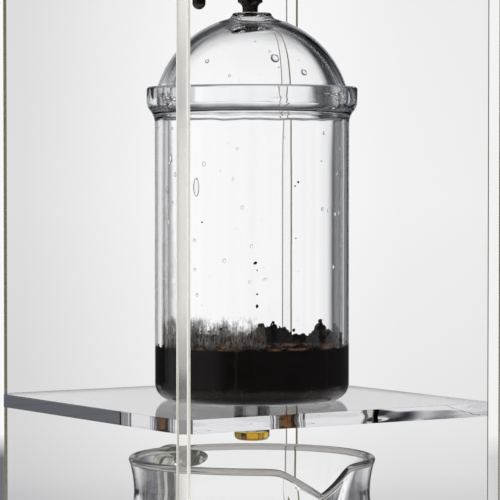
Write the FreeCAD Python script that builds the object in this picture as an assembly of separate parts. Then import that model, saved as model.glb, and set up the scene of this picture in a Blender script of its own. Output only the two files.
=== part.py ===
# Cold drip coffee tower: a clear acrylic frame that holds a water vessel with a drip valve,
# a glass brew chamber under a dome lid, and a glass carafe. Millimetres, +Z up.
# The origin is the middle of the footprint on the surface that the feet stand on.
# The carafe pours towards -Y (front) and its handle is at +Y (back).
import FreeCAD, Part
import math
import os

V = FreeCAD.Vector
UP = V(0, 0, 1)
FULL_TURN = 360
LEFT = 1
RIGHT = -1

# ---- fits ----------------------------------------------------------------
SEAT_GAP = 0.3          # between curved pieces that rest on each other
RUNNING_FIT = 0.05      # radial, between a turning plug and its bore
SCREW_FIT = 0.05        # radial, round screws and threaded shanks
NEST_FIT = 0.1          # round pieces that lie in a pocket of their own shape

# ---- frame ---------------------------------------------------------------
FOOT_RADIUS = 7.0
FOOT_FLAT_RADIUS = 5.0
FOOT_HEIGHT = 3.0
FOOT_INSET = 22.0       # plate's edge to a foot's middle, along X and along Y
PLATE_SIDE = 172.0      # base plate and top shelf
PLATE_CORNER = 5.0
BASE_THICKNESS = 8.0
TOP_THICKNESS = 6.0
SHELF_INSET = 4.1       # plate's edge to the middle shelf's edge
SHELF_THICKNESS = 6.0
POST_INSET = 4.7        # plate's edge to a post's centre line, along X and along Y
POST_SIDE = 5.0
SCREW_RADIUS = 1.0
SCREW_HEAD_RADIUS = 2.0
SCREW_HEAD_HEIGHT = 1.2
SCREW_LENGTH = 16.0
PILOT_SPARE = 1.0       # drilled beyond the screw's tip

# ---- places of the two vertical lines of glassware -------------------------
CHAMBER_Y = -8.0        # brew chamber, dome, spout and carafe
VESSEL_OFFSET = 1.5     # the water vessel and its valve hang this much further back

# ---- brew chamber ----------------------------------------------------------
CHAMBER_RADIUS = 44.0
CHAMBER_WALL = 3.0
CHAMBER_FLOOR = 3.5
CHAMBER_HEIGHT = 141.3
CHAMBER_HEEL = 7.5      # rounding outside the bottom
CHAMBER_INNER_HEEL = 4.5
COLLAR_STEP = 3.7       # collar's outside beyond the cylinder's
COLLAR_WALL = 4.5
COLLAR_BAND = 6.0       # straight band at the top of the collar
COLLAR_FLARE = 10.3     # height of the S-curve under the band
COLLAR_ROUND = 1.2
SOCKET_DEPTH = 10.3     # the dome's skirt stands this deep in the collar
SPOUT_RADIUS = 8.0
SPOUT_BORE = 5.0
SPOUT_DROP = 18.5
SPOUT_ROUND = 3.5
SPOUT_TIP_BORE = 2.0
SPOUT_TIP_LENGTH = 1.5
SPOUT_TAPER = 3.0       # height of the cone between bore and tip
SHELF_HOLE_CLEARANCE = 0.5

# ---- what lies in the chamber ------------------------------------------------
FILTER_THICKNESS = 2.0
GASKET_MARGIN = 3.5     # foot of the chamber's inner heel to the gasket
GASKET_WIDTH = 3.0
GASKET_THICKNESS = 2.6
COFFEE_DEPTH = 21.5     # level part of the bed, above the chamber's floor
COFFEE_IN_SPOUT = 4.6   # height of the brewed coffee above the spout's tip
CLUMP_RADIUS = 11.0     # heaps of stirred-up grounds on the bed
CLUMP_RISE = 9.5
CLUMP_INSET = 14.0      # chamber's inner wall to the middle of a heap
CLUMP_TURNS = (-35.0, 4.0, 26.0, 48.0)  # their directions, degrees from +X

# ---- dome lid --------------------------------------------------------------------
DOME_BULGE = 1.8        # the ball's radius beyond the skirt's
DOME_WALL = 3.2
SKIRT_CLEARANCE = 0.5
SKIRT_ROUND = 0.5
NOZZLE_CLEARANCE = 3.5  # nozzle to the crown's bore, if both stood on one axis
NOZZLE_DIP = 5.8        # the nozzle's tip hangs this far below the crown's top
CROWN_LIP = 1.7         # wall of the lip round the hole
CROWN_SPREAD = 3.3      # from the lip to where it grows out of the dome
CROWN_HEIGHT = 1.4      # lip above the dome's apex
CROWN_ROUND = 0.6
BEAD_DEPTH = 5.2        # the lip's bead hangs this far under the dome's inner apex
BEAD_WIDTH = 3.0
BEAD_SPREAD = 3.5       # from the bead to where it grows out of the dome

# ---- carafe ------------------------------------------------------------------------
CARAFE_HEIGHT = 123.5
CARAFE_WALL = 2.6
CARAFE_FLOOR = 4.0
BELLY_RADIUS = 66.0
BELLY_HEIGHT = 52.0
HEEL_HEIGHT = 14.0
HEEL_RADIUS = 58.0
NECK_RADIUS = 53.6
NECK_DROP = 14.5        # rim to the narrowest part of the neck
RIM_FLARE = 2.4         # rim's radius beyond the neck's
LIP_PUSH = 3.5          # the pouring lip stands out from the rim
LIP_CURVE = 19.0
LIP_ROOT_DROP = 25.5    # rim to where the lip starts
LIP_ROOT_CURVE = 12.0
LIP_DIP = 12.0          # the lip's lowest point under the rim
LIP_HALF_WIDTH = 20.0
LIP_SHOULDER = 14.0     # rounding where the dip meets the level rim
HANDLE_WIDTH = 13.0
HANDLE_THICKNESS = 7.0
HANDLE_TOP_DROP = 9.5       # rim to where the strap leaves the neck
HANDLE_SHOULDER_DROP = 2.5  # rim to the strap's highest corner
HANDLE_FOOT_HEIGHT = 44.0
HANDLE_ELBOW_HEIGHT = 56.0
HANDLE_STANDOFF = 17.0      # belly's outside to the upper corner
HANDLE_ELBOW_STANDOFF = 13.0
HANDLE_BEND = 13.0
DRIP_GAP = 7.0              # carafe's rim to the spout's tip above it

# ---- water vessel ------------------------------------------------------------------------
VESSEL_RADIUS = 52.0
VESSEL_WALL = 3.0
VESSEL_BOSS_MARGIN = 3.0    # flat boss under the globe, beyond the washer
VESSEL_BOSS_DEPTH = 0.9
VESSEL_FLAT_MARGIN = 1.0    # flat inside the globe, beyond the washer
VESSEL_NECK_RADIUS = 27.0
VESSEL_NECK_RISE = 8.0      # neck's top above the globe's
VESSEL_LIP = 1.5
SEAT_RING_BORE = 39.0
SEAT_RING_WALL = 2.0
SEAT_RING_FLANGE = 4.0
SEAT_RING_THICKNESS = 1.5

# ---- vessel lid -----------------------------------------------------------------------------
LID_OVERHANG = 3.0          # beyond the neck
LID_THICKNESS = 3.0
LID_CROWN = 4.0
LID_PLUG_CLEARANCE = 0.5
LID_PLUG_DEPTH = 8.0
LID_PLUG_WALL = 2.6
LID_PAD_RADIUS = 7.0
KNOB_RADIUS = 9.0
KNOB_NECK_RADIUS = 5.0
KNOB_NECK_HEIGHT = 4.0
KNOB_HEIGHT = 13.0
KNOB_ROUND = 2.5
LID_SCREW_RADIUS = 2.0
LID_SCREW_HEAD_RADIUS = 4.0
LID_SCREW_HEAD = 2.0
LID_SCREW_LENGTH = 8.0      # thread inside the knob

# ---- drip valve ---------------------------------------------------------------------------------
SHANK_RADIUS = 5.0
SHANK_SPARE = 2.0           # shank above the nut
WASHER_RADIUS = 9.0
WASHER_THICKNESS = 1.5
NUT_FLATS = 15.0
NUT_THICKNESS = 4.0
VALVE_RADIUS = 8.0
VALVE_HEIGHT = 16.0
VALVE_FOOT_RADIUS = 6.2
VALVE_FOOT_HEIGHT = 6.0
SPINDLE_DROP = 8.0          # valve body's top to the spindle's axis
WATERWAY_RADIUS = 1.5
HOUSING_RADIUS = 6.5
HOUSING_END = 2.0           # wall of the housing's closed end
HOUSING_FRONT = 13.0        # valve's axis to the housing's open end
SPINDLE_RADIUS = 4.0
SPINDLE_BACK = 7.0
STEM_RADIUS = 2.6
PACKING_THICKNESS = 2.0
GLAND_FLATS = 12.0
GLAND_THICKNESS = 4.0
LEVER_GAP = 6.7             # gland nut to the lever's hub
LEVER_ROD = 2.95
LEVER_LENGTH = 20.5         # spindle's axis to the lever's tip
HUB_RADIUS = 5.5
HUB_LENGTH = 7.0
LEVER_SCREW_HEAD = 3.4
LEVER_SCREW_HEAD_HEIGHT = 1.6
LEVER_SCREW_RADIUS = 1.2
LEVER_SCREW_LENGTH = 10.0
NOZZLE_FLANGE_RADIUS = 5.65
NOZZLE_FLANGE = 2.7
NOZZLE_CONE = 2.2
NOZZLE_RADIUS = 3.5
NOZZLE_LENGTH = 10.4        # flange's underside to the tip
NOZZLE_SHANK_RADIUS = 3.2
NOZZLE_SHANK_LENGTH = 4.5
NOZZLE_BORE = 1.2
NOZZLE_ROUND = 0.6

# ---- levels worked out from the sizes above ------------------------------------------------------------
POST_OFFSET = PLATE_SIDE / 2 - POST_INSET
FOOT_OFFSET = PLATE_SIDE / 2 - FOOT_INSET
SHELF_SIDE = PLATE_SIDE - 2 * SHELF_INSET   # before its corners are cut to meet the posts
VESSEL_Y = CHAMBER_Y + VESSEL_OFFSET

CHAMBER_INSIDE = CHAMBER_RADIUS - CHAMBER_WALL
COLLAR_RADIUS = CHAMBER_RADIUS + COLLAR_STEP
SOCKET_RADIUS = COLLAR_RADIUS - COLLAR_WALL
SKIRT_RADIUS = SOCKET_RADIUS - SKIRT_CLEARANCE
SKIRT_FOOT = CHAMBER_HEIGHT - SOCKET_DEPTH
DOME_RADIUS = SKIRT_RADIUS + DOME_BULGE
DOME_CENTRE = CHAMBER_HEIGHT - math.sqrt(DOME_RADIUS ** 2 - SKIRT_RADIUS ** 2)
CROWN_TOP = DOME_CENTRE + DOME_RADIUS + CROWN_HEIGHT
CROWN_BORE = NOZZLE_RADIUS + NOZZLE_CLEARANCE
CROWN_RADIUS = CROWN_BORE + CROWN_LIP
CROWN_ROOT = CROWN_RADIUS + CROWN_SPREAD
BEAD_ROOT = CROWN_BORE + BEAD_WIDTH + BEAD_SPREAD
GASKET_RADIUS = CHAMBER_INSIDE - CHAMBER_INNER_HEEL - GASKET_MARGIN
FILTER_RADIUS = GASKET_RADIUS - GASKET_WIDTH

RIM_RADIUS = NECK_RADIUS + RIM_FLARE
LIP_REACH = RIM_RADIUS + LIP_PUSH

VESSEL_INSIDE = VESSEL_RADIUS - VESSEL_WALL
VESSEL_MOUTH = VESSEL_NECK_RADIUS - VESSEL_WALL
VESSEL_NECK_TOP = VESSEL_RADIUS + VESSEL_NECK_RISE
VESSEL_BOSS_RADIUS = WASHER_RADIUS + VESSEL_BOSS_MARGIN
VESSEL_FLAT_RADIUS = WASHER_RADIUS + VESSEL_FLAT_MARGIN
LID_RADIUS = VESSEL_NECK_RADIUS + LID_OVERHANG
LEVER_OFFSET = HOUSING_FRONT + GLAND_THICKNESS + LEVER_GAP + HUB_LENGTH / 2

# Everything stands on the base plate or hangs so that the nozzle meets the dome's crown.
BASE_TOP = FOOT_HEIGHT + BASE_THICKNESS
SHELF_TOP = BASE_TOP + CARAFE_HEIGHT + DRIP_GAP + SPOUT_DROP
FOOT_BOTTOM = SHELF_TOP + CROWN_TOP - NOZZLE_DIP + NOZZLE_LENGTH + NOZZLE_FLANGE
VALVE_BOTTOM = FOOT_BOTTOM + VALVE_FOOT_HEIGHT
VALVE_TOP = VALVE_BOTTOM + VALVE_HEIGHT
SPINDLE_HEIGHT = VALVE_TOP - SPINDLE_DROP
BOSS_BOTTOM = VALVE_TOP + WASHER_THICKNESS
GLOBE_CENTRE = BOSS_BOTTOM + VESSEL_BOSS_DEPTH + VESSEL_RADIUS
VESSEL_FLOOR = GLOBE_CENTRE - math.sqrt(VESSEL_INSIDE ** 2 - VESSEL_FLAT_RADIUS ** 2)
NUT_TOP = VESSEL_FLOOR + WASHER_THICKNESS + NUT_THICKNESS
LID_SEAT = GLOBE_CENTRE + VESSEL_NECK_TOP
SEAT_RING_TOP = GLOBE_CENTRE - math.sqrt((VESSEL_RADIUS + SEAT_GAP) ** 2 - SEAT_RING_BORE ** 2)
TOP_SHELF_TOP = SEAT_RING_TOP - SEAT_RING_THICKNESS
TOP_SHELF_BOTTOM = TOP_SHELF_TOP - TOP_THICKNESS

CHAMBER_AXIS = V(0, CHAMBER_Y, SHELF_TOP)
CARAFE_AXIS = V(0, CHAMBER_Y, BASE_TOP)
VESSEL_AXIS = V(0, VESSEL_Y, 0)
LID_PLACE = VESSEL_AXIS + V(0, 0, LID_SEAT)


class Outline:
    """A closed outline in the half plane of radius and height, drawn edge by edge."""

    def __init__(self, radius, height):
        self.start = V(radius, 0, height)
        self.pen = self.start
        self.edges = []

    def to(self, radius, height):
        """Draw a straight edge to a point."""
        end = V(radius, 0, height)
        self.edges.append(Part.LineSegment(self.pen, end).toShape())
        self.pen = end
        return self

    def bend(self, radius, height, curve, side):
        """Draw an arc with radius curve to a point, bulging to the LEFT or RIGHT of the way there."""
        end = V(radius, 0, height)
        chord = end - self.pen
        rise = curve - math.sqrt(curve ** 2 - (chord.Length / 2) ** 2)
        across = V(-chord.z, 0, chord.x).normalize()
        middle = self.pen + chord * 0.5 + across * (side * rise)
        self.edges.append(Part.Arc(self.pen, middle, end).toShape())
        self.pen = end
        return self

    def ogee(self, radius, height):
        """Draw an S-curve that leaves and arrives parallel to the axis."""
        run = radius - self.pen.x
        climb = height - self.pen.z
        curve = (run ** 2 + climb ** 2) / (4 * abs(run))
        first = LEFT if run * climb > 0 else RIGHT
        self.bend(self.pen.x + run / 2, self.pen.z + climb / 2, curve, first)
        return self.bend(radius, height, curve, -first)

    def revolve(self, place):
        """Close the outline and turn it about the vertical axis, standing on place."""
        if (self.pen - self.start).Length > 0:
            self.to(self.start.x, self.start.z)
        solid = Part.Face(Part.Wire(self.edges)).revolve(V(0, 0, 0), UP, FULL_TURN)
        if solid.Volume < 0:
            solid.reverse()
        solid.translate(place)
        return solid


def rod(radius, low, high, place):
    """Upright cylinder from low to high above place."""
    return Part.makeCylinder(radius, high - low, place + V(0, 0, low))


def cross_rod(radius, start, end, height):
    """Cylinder along X through the valve's axis, from start to end."""
    return Part.makeCylinder(radius, end - start, V(start, VESSEL_Y, height), V(1, 0, 0))


def block(side, thickness, low):
    """Square plate about the tower's axis."""
    return Part.makeBox(side, side, thickness, V(-side / 2, -side / 2, low))


def hexagon(flats, thickness, place, axis):
    """Six-sided prism across its flats, from place along axis."""
    corner = flats / math.sqrt(3)
    points = []
    for step in range(7):
        angle = math.radians(60 * step + 30)
        points.append(V(corner * math.cos(angle), corner * math.sin(angle), 0))
    prism = Part.Face(Part.makePolygon(points)).extrude(V(0, 0, thickness))
    prism.Placement = FreeCAD.Placement(place, FreeCAD.Rotation(UP, axis))
    return prism


def tangent_curve(run, rise):
    """Radius of the arc that starts square to run and ends run away and rise up."""
    return (run ** 2 + rise ** 2) / (2 * run)


def sphere_height(curve, radius):
    """Height of a ball's surface over its centre, at a distance from its axis."""
    return math.sqrt(curve ** 2 - radius ** 2)


def corners(offset):
    """The four places at plus and minus offset along X and Y, front ones first."""
    return {
        "front_left": V(-offset, -offset, 0),
        "front_right": V(offset, -offset, 0),
        "back_left": V(-offset, offset, 0),
        "back_right": V(offset, offset, 0),
    }


POST_PLACES = corners(POST_OFFSET)


# ---- frame pieces -----------------------------------------------------------

def post(place):
    """Square bar set cornerwise, drilled at both ends for its screws."""
    bar = block(POST_SIDE, TOP_SHELF_BOTTOM - BASE_TOP, BASE_TOP)
    bar.rotate(V(0, 0, 0), UP, 45)
    bar.translate(place)
    depth = SCREW_LENGTH - BASE_THICKNESS + PILOT_SPARE
    bar = bar.cut(rod(SCREW_RADIUS + SCREW_FIT, BASE_TOP, BASE_TOP + depth, place))
    depth = SCREW_LENGTH - TOP_THICKNESS + PILOT_SPARE
    return bar.cut(rod(SCREW_RADIUS + SCREW_FIT, TOP_SHELF_BOTTOM - depth, TOP_SHELF_BOTTOM, place))


def screw(place, head_height, towards, room=0):
    """Countersunk screw with its head's flat at head_height, pointing up (1) or down (-1)."""
    outline = Outline(0, 0)
    outline.to(SCREW_HEAD_RADIUS + room, 0).to(SCREW_RADIUS + room, SCREW_HEAD_HEIGHT)
    outline.to(SCREW_RADIUS + room, SCREW_LENGTH).to(0, SCREW_LENGTH)
    body = outline.revolve(V(0, 0, 0))
    if towards < 0:
        body.rotate(V(0, 0, 0), V(1, 0, 0), 180)
    body.translate(place + V(0, 0, head_height))
    return body


def base_screw(place, room=0):
    """Screw up through the base plate into a post."""
    return screw(place, FOOT_HEIGHT, 1, room)


def top_screw(place, room=0):
    """Screw down through the top shelf into a post."""
    return screw(place, TOP_SHELF_TOP, -1, room)


def end_plate(thickness, low, fastener):
    """Plate with rounded corners and a countersunk hole over each post."""
    plate = block(PLATE_SIDE, thickness, low)
    upright = [edge for edge in plate.Edges if abs(edge.tangentAt(edge.FirstParameter).z) > 0.5]
    plate = plate.makeFillet(PLATE_CORNER, upright)
    for place in POST_PLACES.values():
        plate = plate.cut(fastener(place, SCREW_FIT))
    return plate


def base_plate():
    """Bottom plate of the tower."""
    return end_plate(BASE_THICKNESS, FOOT_HEIGHT, base_screw)


def top_shelf():
    """Upper plate with the round hole that the vessel hangs through."""
    plate = end_plate(TOP_THICKNESS, TOP_SHELF_BOTTOM, top_screw)
    hole = SEAT_RING_BORE + SEAT_RING_WALL
    return plate.cut(rod(hole, TOP_SHELF_BOTTOM, TOP_SHELF_TOP, VESSEL_AXIS))


def middle_shelf():
    """Square shelf with its corners cut flat against the posts, and the hole for the spout."""
    low = SHELF_TOP - SHELF_THICKNESS
    plate = block(SHELF_SIDE, SHELF_THICKNESS, low)
    trim = block(2 * math.sqrt(2) * POST_OFFSET - POST_SIDE, SHELF_THICKNESS, low)
    trim.rotate(V(0, 0, 0), UP, 45)
    plate = plate.common(trim)
    hole = SPOUT_RADIUS + SHELF_HOLE_CLEARANCE
    return plate.cut(rod(hole, -SHELF_THICKNESS, 0, CHAMBER_AXIS))


def foot_pad(place):
    """Soft pad with a rounded edge."""
    outline = Outline(0, 0).to(FOOT_FLAT_RADIUS, 0)
    outline.bend(FOOT_RADIUS, FOOT_RADIUS - FOOT_FLAT_RADIUS, FOOT_RADIUS - FOOT_FLAT_RADIUS, RIGHT)
    outline.to(FOOT_RADIUS, FOOT_HEIGHT).to(0, FOOT_HEIGHT)
    return outline.revolve(place)


def vessel_seat_ring():
    """Soft ring that lines the top shelf's hole and carries the globe."""
    outside = SEAT_RING_BORE + SEAT_RING_WALL - NEST_FIT
    outline = Outline(SEAT_RING_BORE, TOP_SHELF_BOTTOM).to(outside, TOP_SHELF_BOTTOM)
    outline.to(outside, TOP_SHELF_TOP).to(outside + SEAT_RING_FLANGE, TOP_SHELF_TOP)
    outline.to(outside + SEAT_RING_FLANGE, SEAT_RING_TOP).to(SEAT_RING_BORE, SEAT_RING_TOP)
    return outline.revolve(VESSEL_AXIS)


# ---- brew chamber pieces ------------------------------------------------------

def brew_chamber():
    """Glass cylinder with a flared collar, a socket for the dome and a spout below."""
    band_foot = CHAMBER_HEIGHT - COLLAR_BAND
    tip = -SPOUT_DROP
    outline = Outline(SPOUT_TIP_BORE, tip).to(SPOUT_RADIUS - SPOUT_ROUND, tip)
    outline.bend(SPOUT_RADIUS, tip + SPOUT_ROUND, SPOUT_ROUND, RIGHT).to(SPOUT_RADIUS, 0)
    outline.to(CHAMBER_RADIUS - CHAMBER_HEEL, 0)
    outline.bend(CHAMBER_RADIUS, CHAMBER_HEEL, CHAMBER_HEEL, RIGHT)
    outline.to(CHAMBER_RADIUS, band_foot - COLLAR_FLARE).ogee(COLLAR_RADIUS, band_foot)
    outline.to(COLLAR_RADIUS, CHAMBER_HEIGHT - COLLAR_ROUND)
    outline.bend(COLLAR_RADIUS - COLLAR_ROUND, CHAMBER_HEIGHT, COLLAR_ROUND, RIGHT)
    outline.to(SOCKET_RADIUS + COLLAR_ROUND, CHAMBER_HEIGHT)
    outline.bend(SOCKET_RADIUS, CHAMBER_HEIGHT - COLLAR_ROUND, COLLAR_ROUND, RIGHT)
    outline.to(SOCKET_RADIUS, SKIRT_FOOT).to(CHAMBER_INSIDE, SKIRT_FOOT)
    outline.to(CHAMBER_INSIDE, CHAMBER_FLOOR + CHAMBER_INNER_HEEL)
    outline.bend(CHAMBER_INSIDE - CHAMBER_INNER_HEEL, CHAMBER_FLOOR, CHAMBER_INNER_HEEL, LEFT)
    outline.to(SPOUT_BORE, CHAMBER_FLOOR)
    outline.to(SPOUT_BORE, tip + SPOUT_TIP_LENGTH + SPOUT_TAPER)
    outline.to(SPOUT_TIP_BORE, tip + SPOUT_TIP_LENGTH)
    return outline.revolve(CHAMBER_AXIS)


def brewed_coffee():
    """Coffee that stands in the lower end of the spout."""
    tip = -SPOUT_DROP
    cone_foot = tip + SPOUT_TIP_LENGTH
    level = tip + COFFEE_IN_SPOUT
    outline = Outline(0, tip).to(SPOUT_TIP_BORE - NEST_FIT, tip).to(SPOUT_TIP_BORE - NEST_FIT, cone_foot)
    outline.to(SPOUT_BORE - NEST_FIT, cone_foot + SPOUT_TAPER).to(SPOUT_BORE - NEST_FIT, level).to(0, level)
    return outline.revolve(CHAMBER_AXIS)


def filter_disc():
    """Round filter on the chamber's floor."""
    return rod(FILTER_RADIUS, CHAMBER_FLOOR, CHAMBER_FLOOR + FILTER_THICKNESS, CHAMBER_AXIS)


def filter_gasket():
    """Soft ring round the filter."""
    top = CHAMBER_FLOOR + GASKET_THICKNESS
    ring = rod(GASKET_RADIUS, CHAMBER_FLOOR, top, CHAMBER_AXIS)
    return ring.cut(rod(FILTER_RADIUS + NEST_FIT, CHAMBER_FLOOR, top, CHAMBER_AXIS))


def coffee_bed():
    """Wet grounds that fill the chamber's foot, with heaps on top and a pocket for the filter."""
    radius = CHAMBER_INSIDE - NEST_FIT
    level = CHAMBER_FLOOR + COFFEE_DEPTH
    heel = CHAMBER_INNER_HEEL
    pocket = CHAMBER_FLOOR + GASKET_THICKNESS
    outline = Outline(0, pocket).to(GASKET_RADIUS + NEST_FIT, pocket)
    outline.to(GASKET_RADIUS + NEST_FIT, CHAMBER_FLOOR).to(radius - heel, CHAMBER_FLOOR)
    outline.bend(radius, CHAMBER_FLOOR + heel, heel, RIGHT).to(radius, level).to(0, level)
    bed = outline.revolve(CHAMBER_AXIS)
    heaps = []
    sunk = CLUMP_RADIUS - CLUMP_RISE
    circle = CHAMBER_INSIDE - CLUMP_INSET
    for turn in CLUMP_TURNS:
        angle = math.radians(turn)
        middle = V(circle * math.cos(angle), circle * math.sin(angle), level - sunk)
        heaps.append(Part.makeSphere(CLUMP_RADIUS, CHAMBER_AXIS + middle))
    room = rod(radius, level - CLUMP_RADIUS, level + CLUMP_RADIUS, CHAMBER_AXIS)
    heap = heaps[0].multiFuse(heaps[1:]).common(room)
    return bed.fuse(heap).removeSplitter()


def dome_lid():
    """Glass dome with a skirt that stands in the collar and a beaded hole in its crown."""
    inside = DOME_RADIUS - DOME_WALL
    skirt_inside = SKIRT_RADIUS - DOME_WALL
    root = DOME_CENTRE + sphere_height(DOME_RADIUS, CROWN_ROOT)
    bead_low = DOME_CENTRE + inside - BEAD_DEPTH
    bead_root = DOME_CENTRE + sphere_height(inside, BEAD_ROOT)
    bead_round = BEAD_WIDTH / 2
    outline = Outline(skirt_inside + SKIRT_ROUND, SKIRT_FOOT).to(SKIRT_RADIUS - SKIRT_ROUND, SKIRT_FOOT)
    outline.bend(SKIRT_RADIUS, SKIRT_FOOT + SKIRT_ROUND, SKIRT_ROUND, RIGHT)
    outline.to(SKIRT_RADIUS, CHAMBER_HEIGHT).bend(CROWN_ROOT, root, DOME_RADIUS, RIGHT)
    outline.to(CROWN_RADIUS, CROWN_TOP - CROWN_ROUND)
    outline.to(CROWN_RADIUS - CROWN_ROUND, CROWN_TOP).to(CROWN_BORE + CROWN_ROUND, CROWN_TOP)
    outline.bend(CROWN_BORE, CROWN_TOP - CROWN_ROUND, CROWN_ROUND, RIGHT)
    outline.to(CROWN_BORE, bead_low + bead_round)
    outline.bend(CROWN_BORE + bead_round, bead_low, bead_round, RIGHT)
    outline.bend(CROWN_BORE + BEAD_WIDTH, bead_low + bead_round, bead_round, RIGHT)
    outline.to(BEAD_ROOT, bead_root)
    straight = DOME_CENTRE + sphere_height(inside, skirt_inside)
    outline.bend(skirt_inside, straight, inside, LEFT).to(skirt_inside, SKIRT_FOOT + SKIRT_ROUND)
    outline.bend(skirt_inside + SKIRT_ROUND, SKIRT_FOOT, SKIRT_ROUND, RIGHT)
    return outline.revolve(CHAMBER_AXIS)


# ---- carafe pieces --------------------------------------------------------------

def carafe_form(shrink, floor):
    """Solid of revolution of the carafe, drawn in by shrink, from floor to rim."""
    climb = BELLY_HEIGHT - HEEL_HEIGHT
    side_curve = tangent_curve(BELLY_RADIUS - HEEL_RADIUS, climb)
    lean = math.asin(climb / side_curve)
    heel_curve = (HEEL_HEIGHT - floor) / (1 - math.sin(lean))
    flat = HEEL_RADIUS - shrink - heel_curve * math.cos(lean)
    flare = tangent_curve(RIM_FLARE, NECK_DROP)
    outline = Outline(0, floor).to(flat, floor)
    outline.bend(HEEL_RADIUS - shrink, HEEL_HEIGHT, heel_curve, RIGHT)
    outline.bend(BELLY_RADIUS - shrink, BELLY_HEIGHT, side_curve, RIGHT)
    outline.ogee(NECK_RADIUS - shrink, CARAFE_HEIGHT - NECK_DROP)
    outline.bend(RIM_RADIUS - shrink, CARAFE_HEIGHT, flare, LEFT).to(0, CARAFE_HEIGHT)
    return outline.revolve(CARAFE_AXIS)


def lip_form(shrink):
    """Leaning cone that pushes the rim out into a pouring lip, drawn in by shrink."""
    root = V(0, LIP_ROOT_CURVE - NECK_RADIUS, CARAFE_HEIGHT - LIP_ROOT_DROP)
    mouth = V(0, LIP_CURVE - LIP_REACH, CARAFE_HEIGHT)
    rings = [
        Part.Wire(Part.makeCircle(LIP_ROOT_CURVE - shrink, CARAFE_AXIS + root)),
        Part.Wire(Part.makeCircle(LIP_CURVE - shrink, CARAFE_AXIS + mouth)),
    ]
    return Part.makeLoft(rings, True, True)


def lip_notch():
    """Prism that dips the rim to a point at the lip, with rounded shoulders."""
    top = CARAFE_HEIGHT
    beside = BELLY_RADIUS
    outline = Outline(-beside, top).to(-LIP_HALF_WIDTH, top).to(0, top - LIP_DIP).to(LIP_HALF_WIDTH, top)
    outline.to(beside, top).to(beside, top + LIP_DIP).to(-beside, top + LIP_DIP).to(-beside, top)
    prism = Part.Face(Part.Wire(outline.edges)).extrude(V(0, -LIP_REACH - LIP_CURVE, 0))
    shoulders = []
    for edge in prism.Edges:
        at_shoulder = abs(abs(edge.CenterOfMass.x) - LIP_HALF_WIDTH) < SEAT_GAP
        if at_shoulder and abs(edge.tangentAt(edge.FirstParameter).y) > 0.5:
            shoulders.append(edge)
    prism = prism.makeFillet(LIP_SHOULDER, shoulders)
    prism.translate(CARAFE_AXIS)
    return prism


def carafe():
    """Blown glass carafe with a dipped pouring lip."""
    outside = carafe_form(0, 0).fuse(lip_form(0))
    inside = carafe_form(CARAFE_WALL, CARAFE_FLOOR).fuse(lip_form(CARAFE_WALL))
    return outside.cut(inside).cut(lip_notch())


def rounded_path(points, curve):
    """Wire through the points with every inner corner rounded to the same curve."""
    edges = []
    pen = points[0]
    for corner, after in zip(points[1:-1], points[2:]):
        back = (pen - corner).normalize()
        onward = (after - corner).normalize()
        half = back.getAngle(onward) / 2
        reach = curve / math.tan(half)
        bisector = (back + onward).normalize()
        start = corner + back * reach
        end = corner + onward * reach
        middle = corner + bisector * (curve / math.sin(half) - curve)
        edges.append(Part.LineSegment(pen, start).toShape())
        edges.append(Part.Arc(start, middle, end).toShape())
        pen = end
    edges.append(Part.LineSegment(pen, points[-1]).toShape())
    return Part.Wire(edges)


def carafe_handle():
    """Flattened glass strap, trimmed where it is fused to the carafe's side."""
    points = [
        CARAFE_AXIS + V(0, NECK_RADIUS - CARAFE_WALL, CARAFE_HEIGHT - HANDLE_TOP_DROP),
        CARAFE_AXIS + V(0, BELLY_RADIUS + HANDLE_STANDOFF, CARAFE_HEIGHT - HANDLE_SHOULDER_DROP),
        CARAFE_AXIS + V(0, BELLY_RADIUS + HANDLE_ELBOW_STANDOFF, HANDLE_ELBOW_HEIGHT),
        CARAFE_AXIS + V(0, HEEL_RADIUS, HANDLE_FOOT_HEIGHT),
    ]
    along = (points[1] - points[0]).normalize()
    across = V(1, 0, 0)
    upward = across.cross(along)
    wide = points[0] + across * (HANDLE_WIDTH / 2)
    thick = points[0] + upward * (HANDLE_THICKNESS / 2)
    section = Part.Wire(Part.Ellipse(wide, thick, points[0]).toShape())
    strap = rounded_path(points, HANDLE_BEND).makePipeShell([section], True, True)
    return strap.cut(carafe_form(0, 0))


# ---- water vessel pieces ------------------------------------------------------------

def water_vessel():
    """Glass globe with a neck above and a drilled boss below."""
    hole = SHANK_RADIUS + SEAT_GAP
    boss_root = -sphere_height(VESSEL_RADIUS, VESSEL_BOSS_RADIUS)
    neck_root = sphere_height(VESSEL_RADIUS, VESSEL_NECK_RADIUS)
    mouth_root = sphere_height(VESSEL_INSIDE, VESSEL_MOUTH)
    floor = VESSEL_FLOOR - GLOBE_CENTRE
    bottom = BOSS_BOTTOM - GLOBE_CENTRE
    lip = VESSEL_NECK_RADIUS + VESSEL_LIP
    lip_low = VESSEL_NECK_TOP - 2 * VESSEL_LIP
    outline = Outline(hole, bottom).to(VESSEL_BOSS_RADIUS, bottom).to(VESSEL_BOSS_RADIUS, boss_root)
    outline.bend(VESSEL_NECK_RADIUS, neck_root, VESSEL_RADIUS, RIGHT)
    outline.to(VESSEL_NECK_RADIUS, lip_low - VESSEL_LIP).to(lip, lip_low)
    outline.to(lip, VESSEL_NECK_TOP - VESSEL_LIP)
    outline.bend(VESSEL_NECK_RADIUS, VESSEL_NECK_TOP, VESSEL_LIP, RIGHT)
    outline.to(VESSEL_MOUTH, VESSEL_NECK_TOP).to(VESSEL_MOUTH, mouth_root)
    outline.bend(VESSEL_FLAT_RADIUS, floor, VESSEL_INSIDE, LEFT).to(hole, floor)
    return outline.revolve(VESSEL_AXIS + V(0, 0, GLOBE_CENTRE))


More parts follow.
